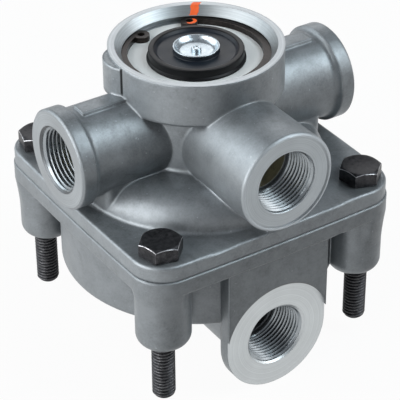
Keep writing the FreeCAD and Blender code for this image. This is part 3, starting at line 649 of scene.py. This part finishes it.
def piece(name, verts, faces, materials, smooth_deg, chosen=None):
    """Weld a mesh, give it its materials and let it ride on the housing."""
    mesh = bpy.data.meshes.new(name)
    mesh.from_pydata([tuple(c * MM for c in v) for v in verts], [], faces)
    weld(mesh)
    made = bpy.data.objects.new(name, mesh)
    bpy.context.scene.collection.objects.link(made)
    for material in materials:
        mesh.materials.append(material)
    for face in mesh.polygons:
        face.use_smooth = True
        if chosen is not None:
            face.material_index = chosen(face.center / MM)
    mesh.set_sharp_from_angle(angle=math.radians(smooth_deg))
    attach(made, "housing")
    return made


def weld(mesh):
    """Join points that meet and turn all faces outwards."""
    net = bmesh.new()
    net.from_mesh(mesh)
    bmesh.ops.remove_doubles(net, verts=net.verts, dist=0.0005 * MM)
    bmesh.ops.recalc_face_normals(net, faces=net.faces)
    net.to_mesh(mesh)
    net.free()
    mesh.update()


def add(to, more):
    """Append one list of points and faces to another."""
    verts, faces = to
    shift = len(verts)
    verts.extend(more[0])
    faces.extend(tuple(i + shift for i in face) for face in more[1])


def circle(radius, z, count, radius_at=None):
    """Ring of points; radius_at may shape it by direction."""
    out = []
    for i in range(count):
        angle = 2 * math.pi * i / count
        r = radius if radius_at is None else radius_at(angle)
        out.append((r * math.cos(angle), r * math.sin(angle), z(angle) if callable(z) else z))
    return out


def skin(rings, first=False, last=False, around=False):
    """Faces between rings of equal count, with the first or last ring filled or the two joined."""
    count = len(rings[0])
    verts = [v for ring in rings for v in ring]
    faces = []
    pairs = list(zip(range(len(rings) - 1), range(1, len(rings))))
    if around:
        pairs.append((len(rings) - 1, 0))
    for low, high in pairs:
        for i in range(count):
            j = (i + 1) % count
            faces.append((low * count + i, low * count + j, high * count + j, high * count + i))
    if first:
        faces.append(tuple(reversed(range(count))))
    if last:
        faces.append(tuple(range((len(rings) - 1) * count, len(rings) * count)))
    return verts, faces


def softened(outline, steps=5):
    """Outline of (radius, height) points, where a third value rounds that corner."""
    out = []
    count = len(outline)
    for i, (r, z, *rounding) in enumerate(outline):
        here = Vector((r, z))
        if not rounding:
            out.append((r, z))
            continue
        before = Vector(outline[i - 1][:2]) - here
        after = Vector(outline[(i + 1) % count][:2]) - here
        start = here + before.normalized() * rounding[0]
        end = here + after.normalized() * rounding[0]
        for step in range(steps + 1):
            t = step / steps
            out.append(tuple(start * (1 - t) ** 2 + here * 2 * t * (1 - t) + end * t ** 2))
    return out


def lathed(outline, count=128):
    """Closed ring turned about Z from an outline that stays clear of the axis."""
    return skin([circle(r, z, count) for r, z in softened(outline)], around=True)


def lathed_solid(outline, count=64):
    """Turned solid whose ends are flat faces across the axis."""
    return skin([circle(r, z, count) for r, z in softened(outline)], first=True, last=True)


def thread_skin(low, high, pitch, root_r, crest_r, count):
    """Helical V thread between two plain circles of the root's radius."""
    # Share of the pitch and radius of each line that runs round
    profile = [(0.0, root_r), (0.08, root_r), (0.40, crest_r), (0.60, crest_r), (0.92, root_r)]
    turns = int((high - low) / pitch) + 2
    run_out = 0.6 * pitch
    columns = []
    for i in range(count + 1):
        angle = 2 * math.pi * i / count
        column = []
        for turn in range(turns):
            for share, radius in profile:
                z = min(max(low + pitch * (turn - 1 + share + i / count), low), high)
                fade = min(1.0, (z - low) / run_out, (high - z) / run_out)
                r = root_r + (radius - root_r) * fade
                column.append((r * math.cos(angle), r * math.sin(angle), z))
        columns.append(column)
    width = len(columns[0])
    verts = [v for column in columns for v in column]
    faces = []
    for i in range(count):
        for j in range(width - 1):
            a = i * width + j
            faces.append((a, a + 1, a + width + 1, a + width))
    return verts, faces


def laid(verts, axis, height):
    """Turn points made along +Z so that +Z becomes a horizontal axis at a height."""
    turn = Vector((0, 0, 1)).rotation_difference(Vector(axis)).to_matrix()
    return [tuple(turn @ Vector(v) + Vector((0, 0, height))) for v in verts]


def port_thread(name, axis, face, depth, height, material):
    """Thread of a port as a sleeve let into the bore's wall."""
    count = THREAD_STEPS
    low = face - depth + THREAD_START
    high = face - MOUTH_CHAMFER
    root_r = THREAD_R - SLEEVE_INTO_BORE
    back_r = THREAD_R + SLEEVE_INTO_WALL
    mesh = thread_skin(low, high, PORT_PITCH, root_r, THREAD_R - PORT_THREAD_DEEP, count)
    rings = [circle(root_r, low, count), circle(back_r, low, count), circle(back_r, high, count)]
    add(mesh, skin(rings + [circle(root_r, high, count)]))
    made = piece(name, laid(mesh[0], axis, height), mesh[1], [material], smooth_deg=25)


def hexagon(angle):
    """Distance from a bolt's axis to the side of its head in one direction."""
    return HEAD_FLAT_R / math.cos(angle % (math.pi / 3) - math.pi / 6)


def crown(angle):
    """Height at which the head's chamfer meets its side in one direction."""
    return HEAD_TOP_Z - (hexagon(angle) - CROWN_R) * CROWN_SLOPE


def bolt_mesh(turn_deg):
    """One bolt about Z: hexagon head with a chamfered crown and washer face, shank and thread."""
    count = THREAD_STEPS
    tip_z = FLANGE_TOP_Z - BOLT_LENGTH
    thread_low = tip_z + BOLT_TIP_CHAMFER * 0.55
    washer_z = FLANGE_TOP_Z + WASHER_FACE_H
    mesh = skin([
        circle(TIP_R - TIP_EDGE_W, tip_z, count),
        circle(TIP_R, tip_z + TIP_EDGE_H, count),
        circle(BOLT_ROOT_R, thread_low, count),
    ], first=True)
    add(mesh, thread_skin(thread_low, MOUNT_Z, BOLT_PITCH, BOLT_ROOT_R, BOLT_CREST_R, count))
    add(mesh, skin([
        circle(BOLT_ROOT_R, MOUNT_Z, count),
        circle(BOLT_SHANK_R, MOUNT_Z + SHANK_RUN_IN, count),
        circle(BOLT_SHANK_R, FLANGE_TOP_Z, count),
        circle(WASHER_FACE_R, FLANGE_TOP_Z, count),
        circle(WASHER_FACE_R, washer_z, count),
        circle(0, washer_z, count, hexagon),
        circle(0, lambda a: crown(a) - WEAR_AND_GLINT_W, count, hexagon),
        circle(0, lambda a: crown(a) + WEAR_AND_GLINT_W * CROWN_SLOPE, count, lambda a: hexagon(a) - WEAR_AND_GLINT_W),
        circle(CROWN_R, HEAD_TOP_Z, count),
        circle(CROWN_DISH_R, HEAD_TOP_Z, count),
        circle(CROWN_DISH_FLOOR_R, HEAD_TOP_Z - CROWN_DISH_DEEP, count),
    ], last=True))
    turned = Matrix.Rotation(math.radians(turn_deg), 4, "Z")
    return [tuple(turned @ Vector(v)) for v in mesh[0]], mesh[1]


def bolts(black, wear_and_edge_highlight):
    """The four bolts, each with its head as far round as it was tightened."""
    mesh = ([], [])
    half = BOLT_SPACING / 2
    for sx, sy, turn in HEAD_TURNS:
        verts, faces = bolt_mesh(BOLT_HEAD_TURN + turn)
        add(mesh, ([(x + sx * half, y + sy * half, z) for x, y, z in verts], faces))
    # The band on each crown's edge takes the bright steel: partly rubbed wear, partly painted highlight
    made = piece("bolts", mesh[0], mesh[1], [black, wear_and_edge_highlight], smooth_deg=30, chosen=on_crown_edge)
    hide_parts("mounting_bolts")


def on_crown_edge(centre):
    """1 on the narrow band between a head's sides and its chamfer."""
    half = BOLT_SPACING / 2
    r = math.hypot(abs(centre.x) - half, abs(centre.y) - half)
    chamfer_z = HEAD_TOP_Z - (r - CROWN_R) * CROWN_SLOPE
    near_top = centre.z > HEAD_TOP_Z - WEAR_AND_GLINT_WITHIN and r > WEAR_AND_GLINT_FROM_R
    return 1 if near_top and WEAR_AND_GLINT_LOW < centre.z - chamfer_z < WEAR_AND_GLINT_HIGH else 0


def flap(rubber, disc_sheen):
    """Exhaust flap, its edges round as moulded."""
    base = GUIDE_TOP_Z
    web_low = FLAP_WEB_TOP - FLAP_WEB_T
    dish = FLAP_HUB_TOP - FLAP_HUB_DISH
    outline = [
        (PIN_HOLE_R, 0), (CAP_FLOOR_R, 0), (CAP_FLOOR_R + web_low, web_low, 0.3),
        (FLAP_WEB_R - web_low, web_low, 0.3),
        (FLAP_WEB_R, 0, 0.2), (FLAP_LIP_R, 0, 0.15), (FLAP_LIP_R, FLAP_LIP_H * 0.6, 0.25),
        (FLAP_RING_R - 0.1, FLAP_LIP_H, 0.25), (FLAP_RING_R, FLAP_H, 0.45),
        (FLAP_RING_R - FLAP_RING_W, FLAP_H, 0.35), (FLAP_WEB_R, FLAP_WEB_TOP, 0.5),
        (FLAP_HUB_R + 0.15, FLAP_WEB_TOP, 0.3), (FLAP_HUB_R, FLAP_HUB_TOP, 0.15),
        (CAP_FLOOR_R, dish, 0.5), (PIN_HOLE_R, dish),
    ]
    shape = lathed([(p[0], base + p[1], *p[2:]) for p in outline], 160)

    def on_disc(centre):
        return 1 if from_valve_axis(centre) < DISC_R and centre.z > DISC_LOW_Z else 0

    made = piece("flap_rubber", *shape, [rubber, disc_sheen], smooth_deg=50, chosen=on_disc)
    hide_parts("exhaust_flap")


def cap(zinc):
    """Dished cap of sheet in the middle of the flap, its edges round as pressed."""
    low = CAP_FLOOR_Z
    high = low + CAP_SHEET
    rim = GUIDE_TOP_Z + FLAP_HUB_TOP + CAP_SHEET + (CAP_R - FLAP_HUB_R)
    shape = lathed([
        (PIN_HOLE_R, low), (CAP_FLOOR_R - 0.2, low, 0.7), (CAP_R - 0.1, rim - CAP_SHEET, 0.15),
        (CAP_R, rim, 0.22), (CAP_R - 0.5, rim, 0.2), (CAP_FLOOR_R + 0.1, high + 0.1, 1.3),
        (PIN_HOLE_R, high),
    ])
    made = piece("cap_sheet", *shape, [zinc], smooth_deg=60)
    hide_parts("flap_cap")


def pin(polished):
    """Pin through cap, flap and insert, with a head below and a dimple in its top."""
    foot = GUIDE_TOP_Z - GUIDE_SPIDER_T
    low = foot - PIN_HEAD_H
    top = CAP_FLOOR_Z + CAP_SHEET + PIN_STANDS_OUT
    shape = lathed_solid([
        (PIN_HEAD_R - 0.5, low), (PIN_HEAD_R, low, 0.3), (PIN_HEAD_R, foot),
        (PIN_R, foot), (PIN_R, top, 0.3), (PIN_R * 0.62, top, 0.1),
        (PIN_R * 0.45, top - 0.25, 0.1), (PIN_R * 0.15, top - 0.28),
    ])
    made = piece("pin_steel", *shape, [polished], smooth_deg=50)
    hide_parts("flap_pin")


def spring_shortens():
    """Give the coil a mesh of its own."""
    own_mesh(nodes["valve_spring"])


def pad_foot():
    """Place where the pad's side meets the collar, on the side of the supply port."""
    reach = math.acos((COLLAR_R ** 2 + PAD_CENTRE_R ** 2 - PAD_R ** 2) / (2 * COLLAR_R * PAD_CENTRE_R))
    angle = math.radians(PAD_ANGLE) + reach
    return COLLAR_R * math.cos(angle), COLLAR_R * math.sin(angle)


def corner_skirts(material):
    """Soft cast blend from the cover's flange into each corner boss, on its outer side."""
    for index, (sx, sy) in enumerate(((-1, -1), (1, -1), (1, 1), (-1, 1))):
        mesh = skirt(Vector((sx, sy, 0)) * (BOLT_SPACING / 2 - BOSS_INSET), math.atan2(sy, sx))
        made = piece("corner_skirt_%d" % (index + 1), *mesh, [material], smooth_deg=50)


def skirt(axis, outward):
    """Closed shell round a boss: out to the flange's edge at the top, down onto the boss."""
    steps = 48
    foot_steps = 8
    over_z = COVER_FLANGE_Z + SKIRT_OVER
    foot_z = COVER_FLANGE_Z - SKIRT_DOWN
    inner_r = BOSS_R - SKIRT_SUNK
    low_r = BOSS_R - SKIRT_FOOT_SUNK
    columns = []
    for i in range(steps + 1):
        turn = -SKIRT_HALF + 2 * SKIRT_HALF * i / steps
        direction = Vector((math.cos(outward + turn), math.sin(outward + turn), 0))
        flange_r = reach_at(axis, direction, COVER_FLANGE_Z + SKIRT_OVER / 2)
        share = min(1.0, max(0.0, (SKIRT_HALF - abs(turn)) / (SKIRT_HALF - SKIRT_FULL)))
        share = share * share * (3 - 2 * share)
        top_r = flange_r + SKIRT_PROUD - SKIRT_RUN_IN * (1 - share)
        column = [(inner_r, over_z), (top_r - 3 * SKIRT_PROUD, over_z)]
        column += [(top_r, over_z - SKIRT_LIP), (top_r, COVER_FLANGE_Z)]
        for k in range(1, foot_steps + 1):
            t = 1 - k / foot_steps
            r = low_r + (top_r - low_r) * share * t ** SKIRT_CURVE
            column.append((r, COVER_FLANGE_Z - SKIRT_DOWN * (1 - t)))
        column.append((inner_r, foot_z))
        columns.append([tuple(axis + direction * r + Vector((0, 0, z))) for r, z in column])
    width = len(columns[0])
    verts = [v for column in columns for v in column]
    faces = [tuple(range(width)), tuple(reversed(range(steps * width, (steps + 1) * width)))]
    for i in range(steps):
        for j in range(width):
            k = (j + 1) % width
            faces.append((i * width + j, (i + 1) * width + j, (i + 1) * width + k, i * width + k))
    return verts, faces


def reach_at(axis, direction, height):
    """Distance from a boss's axis out to the cover's side at one height."""
    far = 20.0
    start = (axis + direction * far + Vector((0, 0, height))) * MM
    cover = nodes["control_cover"]
    inverse = cover.matrix_world.inverted()
    hit, place, _, _ = cover.ray_cast(inverse @ start, inverse.to_3x3() @ -direction)
    return far - (place - inverse @ start).length / MM if hit else BOSS_R


def slab(point_at, across, along, thick):
    """Closed patch of paint: point_at(s, t) gives a place and its outward direction."""
    verts = []
    for lift in (-thick, thick):
        for i in range(along + 1):
            for j in range(across + 1):
                place, outward = point_at(i / along, j / across)
                verts.append(tuple(Vector(place) + Vector(outward) * lift))
    width = across + 1
    layer = width * (along + 1)
    faces = []
    for i in range(along):
        for j in range(across):
            a = i * width + j
            quad = (a, a + 1, a + width + 1, a + width)
            faces.append(quad)
            faces.append(tuple(k + layer for k in reversed(quad)))
    border = list(range(width))
    border += [i * width + across for i in range(1, along + 1)]
    border += [along * width + j for j in range(across - 1, -1, -1)]
    border += [i * width for i in range(along - 1, 0, -1)]
    for a, b in zip(border, border[1:] + border[:1]):
        faces.append((a, a + layer, b + layer, b))
    return verts, faces


def paint_rim(material):
    """Stroke of paint brushed across the rim and down the cone."""
    cone_foot = COLLAR_TOP_Z - COLLAR_MOUTH_DEPTH + 0.2
    path = [(COLLAR_R - 0.6, COLLAR_TOP_Z), (COLLAR_MOUTH_R, COLLAR_TOP_Z)]
    path.append((COLLAR_BORE_R + 0.15, cone_foot))
    lengths = [math.dist(a, b) for a, b in zip(path, path[1:])]
    cone = Vector((path[1][1] - path[2][1], path[1][0] - path[2][0])).normalized()

    def on_rim(s, t):
        run = s * sum(lengths)
        first = run <= lengths[0]
        start, end = (path[0], path[1]) if first else (path[1], path[2])
        share = run / lengths[0] if first else (run - lengths[0]) / lengths[1]
        r = start[0] + (end[0] - start[0]) * share
        z = start[1] + (end[1] - start[1]) * share
        ragged = 0.16 * math.sin(9.3 * s + 1.1) + 0.10 * math.sin(23 * s + 2 * t)
        side = (t - 0.5) * 2 * PAINT_HALF_W * (1.0 - 0.10 * s) + ragged
        angle = PAINT_RIM_ANGLE + (PAINT_FOOT_ANGLE - PAINT_RIM_ANGLE) * s - side / r
        outward = (0, 0, 1) if first else (-cone.x * math.cos(angle), -cone.x * math.sin(angle), cone.y)
        return (r * math.cos(angle), r * math.sin(angle), z), outward

    made = piece("paint_rim", *slab(on_rim, 8, 24, PAINT_T), [material], smooth_deg=50)


def paint_eye(material):
    """The stroke's end, curled over one eye of the snap ring."""
    eye_angle = math.radians(RING_EYE_ANGLE)
    eye = Vector((RING_EYE_R * math.cos(eye_angle), RING_EYE_R * math.sin(eye_angle), GUIDE_TOP_Z + RING_T))

    def on_eye(s, t):
        angle = EYE_PAINT_ANGLE + (s - 0.5) * EYE_PAINT_SWEEP
        taper = math.sin(math.pi * min(max(s, 0.02), 0.98)) ** 0.5
        r = EYE_PAINT_R + (t * EYE_PAINT_W + 0.06 * math.sin(11 * s)) * taper
        return tuple(eye + Vector((r * math.cos(angle), r * math.sin(angle), 0))), (0, 0, 1)

    made = piece("paint_eye", *slab(on_eye, 4, 18, EYE_PAINT_T), [material], smooth_deg=50)


def from_valve_axis(place):
    """Distance from the axis of the collar and the piston."""
    return math.hypot(place.x, place.y)


def from_side_ports(place):
    """Distance from the axis that the two delivery ports share."""
    return math.hypot(place.y, place.z - PORT_AXIS_Z)


def from_supply_port(place):
    """Distance from the supply port's axis."""
    return math.hypot(place.x, place.z - PORT_AXIS_Z)


def machined_zones(rim, mouth, side_ports, side_mouths, front_port, control, passage):
    """Give the machined faces of the castings their own looks.

    Each test takes a face's centre in millimetres and its normal.
    """
    cone_low = COLLAR_TOP_Z - COLLAR_MOUTH_DEPTH - 11.0
    in_bore = THREAD_R + MOUTH_CHAMFER
    in_passage = PASSAGE_R + 0.2
    chamber_r = COLLAR_BORE_R - 2.0

    def rim_faces(c, n):
        return n.z > 0.9 and c.z > COLLAR_TOP_Z - 0.05 and from_valve_axis(c) < COLLAR_R + 0.1

    def mouth_faces(c, n):
        inward = n.x * c.x + n.y * c.y < -0.1
        return inward and c.z > cone_low and chamber_r < from_valve_axis(c) < COLLAR_R - 0.5

    def delivery_faces(c, n):
        return abs(c.x) > DELIVERY_FACE - 0.1 and from_side_ports(c) < DELIVERY_COLLAR_R - 0.5

    def delivery_mouths(c, n):
        return 0.02 < DELIVERY_FACE - abs(c.x) < MOUTH_DEPTH and from_side_ports(c) < in_bore

    def supply_faces(c, n):
        r = from_supply_port(c)
        on_face = r < SPOTFACE_R + 0.1 and n.y < -0.95
        return c.y < -(SUPPLY_FACE - MOUTH_DEPTH) and (on_face or r < in_bore)

    def control_faces(c, n):
        r = math.hypot(c.x, c.z - CONTROL_AXIS_Z)
        on_face = r < CONTROL_SPOTFACE_R + 0.1 and abs(c.y + CONTROL_FACE) < 0.05 and n.y < -0.9
        return c.y < -(CONTROL_FACE - MOUTH_DEPTH) and (on_face or r < in_bore)

    def passage_faces(c, n):
        front = PASSAGE_FROM < -c.y < SUPPLY_FACE - THREAD_DEPTH and from_supply_port(c) < in_passage
        side = PASSAGE_FROM < abs(c.x) < DELIVERY_FACE - THREAD_DEPTH and from_side_ports(c) < in_passage
        inside = PORT_AXIS_Z - 12 < c.z < COLLAR_TOP_Z - 14 and from_valve_axis(c) < chamber_r
        return front or side or inside

    give_faces("upper_body", rim, rim_faces)
    give_faces("upper_body", mouth, mouth_faces)
    give_faces("upper_body", side_ports, delivery_faces)
    give_faces("upper_body", side_mouths, delivery_mouths)
    give_faces("upper_body", front_port, supply_faces)
    give_faces("upper_body", passage, passage_faces)
    give_faces("control_cover", control, control_faces)


def dress_castings():
    """Skins of the two castings, the cover's corner blends and the machined faces."""
    # Place and heights of the painted shade line down the crease by the pad
    crevice_shade = (*pad_foot(), COLLAR_TOP_Z - PAD_H, COLLAR_TOP_Z)
    # The body's skin: painted shade down the crease by the pad and on its front, painted light on its left,
    # and a painted highlight at the supply port's end
    body = cast_look("cast_aluminium", CAST_COLOUR, CAST_ROUND, crevice_shade, BODY_FRONT_SHADE, SUPPLY_FACE)
    give("upper_body", body)
    # Painted shade: the cover takes a darker copy of the body's colour
    cover_shaded_colour = shade(CAST_COLOUR, COVER_PAINTED_SHADE)
    cover = cast_look("cast_aluminium_cover", cover_shaded_colour, CAST_ROUND, front_shade=COVER_FRONT_SHADE)
    give("control_cover", cover)
    corner_skirts(cover)
    ports = (0, 0, PORT_AXIS_Z)
    control = (0, 0, CONTROL_AXIS_Z)
    machined_zones(
        turned_look("turned_rim", RIM_COLOUR, ALONG_Z, (0, 0, 0), 0.3),
        turned_look("turned_mouth", MOUTH_COLOUR, ALONG_Z, (0, 0, 0), 0.7, MOUTH_LIT_SIDE),
        turned_look("turned_delivery_face", DELIVERY_FACE_COLOUR, ALONG_X, ports),
        turned_look("turned_delivery_mouth", DELIVERY_MOUTH_COLOUR, ALONG_X, ports, 0.0),
        turned_look("turned_supply_face", SUPPLY_FACE_COLOUR, ALONG_Y, ports),
        turned_look("turned_control_face", CONTROL_FACE_COLOUR, ALONG_Y, control),
        # Olive oiled metal, lightened as painted light deep in the passages
        cast_look("oiled_passage_and_painted_light", PASSAGE_OIL_AND_LIGHT_COLOUR, 0.3),
    )


def cut_threads():
    """Threads of the four ports and of the four bolts."""
    thread = thread_look("cut_thread", THREAD_COLOUR)
    supply_mouth = SUPPLY_FACE - SPOTFACE_DEPTH
    supply_deep = THREAD_DEPTH - SPOTFACE_DEPTH
    port_thread("supply_thread", (0, -1, 0), supply_mouth, supply_deep, PORT_AXIS_Z, thread)
    port_thread("delivery_thread_left", (-1, 0, 0), DELIVERY_FACE, THREAD_DEPTH, PORT_AXIS_Z, thread)
    port_thread("delivery_thread_right", (1, 0, 0), DELIVERY_FACE, THREAD_DEPTH, PORT_AXIS_Z, thread)
    port_thread("control_thread", (0, -1, 0), CONTROL_FACE, CONTROL_THREAD_DEPTH, CONTROL_AXIS_Z, thread)
    bolts(black_steel_look("black_oxide"), worn_and_highlight_steel_look("worn_and_highlight_steel"))


def dress_rest():
    """Exhaust flap with its cap and pin, seals, inner pieces and the check mark in paint."""
    rubber = rubber_look("rubber", SEAL_TONES, 0.21)
    # Same rubber on the flap's disc, lighter and bluer as painted sheen
    disc_sheen = rubber_look("rubber_disc_sheen", DISC_SHEEN_TONES, 0.24)
    zinc = bright_steel_look("zinc_plate")
    flap(rubber, disc_sheen)
    cap(bright_steel_look("zinc_cap", (0.24, 0.34)))
    pin(bright_steel_look("zinc_pin", (0.20, 0.28)))
    for name in ("housing_seal", "piston_seal", "valve_rubber", "guide_outer_seal", "guide_inner_seal"):
        give(name, rubber)
    for name in ("valve_sleeve", "rubber_retainer", "spring_washer"):
        give(name, zinc)
    spring = spring_steel_look("spring_steel")
    give("valve_spring", spring)
    give("retaining_ring", spring)
    give("valve_guide", plastic_look("pale_plastic", PALE_PLASTIC))
    give("piston_guide_ring", plastic_look("white_plastic", WHITE_PLASTIC))
    give("relay_piston", cast_look("piston_aluminium", PISTON_COLOUR, 0.4))
    paint = paint_look("marking_paint", PAINT_COLOUR)
    paint_rim(paint)
    paint_eye(paint)


# Stage and light

def stage():
    """Pale floor that keeps the shadow and looks white to the camera and to bright metal."""
    low = cad_box[0][2]
    half = FLOOR_HALF
    corners = [(-half, -half, low), (half, -half, low), (half, half, low), (-half, half, low)]
    mesh = bpy.data.meshes.new("floor")
    mesh.from_pydata(corners, [], [(0, 1, 2, 3)])
    floor = bpy.data.objects.new("floor", mesh)
    bpy.context.scene.collection.objects.link(floor)
    look = Look("floor")
    look.set(Base_Color=(FLOOR_GREY, FLOOR_GREY, FLOOR_GREY, 1), Roughness=0.9, Specular_IOR_Level=0.1)
    glow = look.node("ShaderNodeEmission")
    glow.inputs["Strength"].default_value = 1.0
    share = look.math("MULTIPLY", seen_ray(look.tree), FLOOR_WHITE_SHARE)
    mixed = look.node("ShaderNodeMixShader")
    look.link(share, mixed.inputs[0])
    look.link(look.shader.outputs[0], mixed.inputs[1])
    look.link(glow.outputs[0], mixed.inputs[2])
    look.link(mixed.outputs[0], look.tree.nodes["Material Output"].inputs["Surface"])
    mesh.materials.append(look.material)


def seen_ray(tree):
    """1 for rays that come from the camera, off glossy surfaces or through glass."""
    path = tree.nodes.new("ShaderNodeLightPath")
    rays = [path.outputs[name] for name in ("Is Camera Ray", "Is Glossy Ray", "Is Transmission Ray")]
    seen = rays[0]
    for ray in rays[1:]:
        most = tree.nodes.new("ShaderNodeMath")
        most.operation = "MAXIMUM"
        tree.links.new(seen, most.inputs[0])
        tree.links.new(ray, most.inputs[1])
        seen = most.outputs[0]
    return seen


def sky():
    """Studio round the object: white low down, dimmer towards the ceiling."""
    world = bpy.data.worlds.new("world")
    bpy.context.scene.world = world
    world.use_nodes = True
    tree = world.node_tree
    tree.nodes.clear()
    coords = tree.nodes.new("ShaderNodeTexCoord")
    split = tree.nodes.new("ShaderNodeSeparateXYZ")
    tree.links.new(coords.outputs["Generated"], split.inputs[0])
    fall = tree.nodes.new("ShaderNodeValToRGB")
    fall.color_ramp.interpolation = "EASE"
    set_stops(fall.color_ramp, STUDIO_FALL)
    tree.links.new(split.outputs["Z"], fall.inputs["Fac"])
    lit = tree.nodes.new("ShaderNodeBackground")
    lit.inputs["Color"].default_value = (*STUDIO_TINT, 1)
    lit.inputs["Strength"].default_value = STUDIO_LIT
    shown = tree.nodes.new("ShaderNodeBackground")
    shown.inputs["Strength"].default_value = STUDIO_SHOWN
    tree.links.new(fall.outputs["Color"], shown.inputs["Color"])
    mixed = tree.nodes.new("ShaderNodeMixShader")
    tree.links.new(seen_ray(tree), mixed.inputs[0])
    tree.links.new(lit.outputs[0], mixed.inputs[1])
    tree.links.new(shown.outputs[0], mixed.inputs[2])
    out = tree.nodes.new("ShaderNodeOutputWorld")
    tree.links.new(mixed.outputs[0], out.inputs["Surface"])


def lights():
    """Square softboxes that face the valve's middle."""
    for name, at, size, watts, tint in LAMPS:
        data = bpy.data.lights.new(name, "AREA")
        data.shape = "SQUARE"
        data.size = size
        data.energy = watts
        data.color = tint
        lamp = bpy.data.objects.new(name, data)
        lamp.location = at
        lamp.rotation_euler = (LAMP_TARGET - Vector(at)).to_track_quat("-Z", "Y").to_euler()
        bpy.context.scene.collection.objects.link(lamp)


def main():
    bpy.context.scene.view_settings.view_transform = "Standard"
    place_camera()
    dress_castings()
    cut_threads()
    dress_rest()
    spring_shortens()
    stage()
    sky()
    lights()


main()
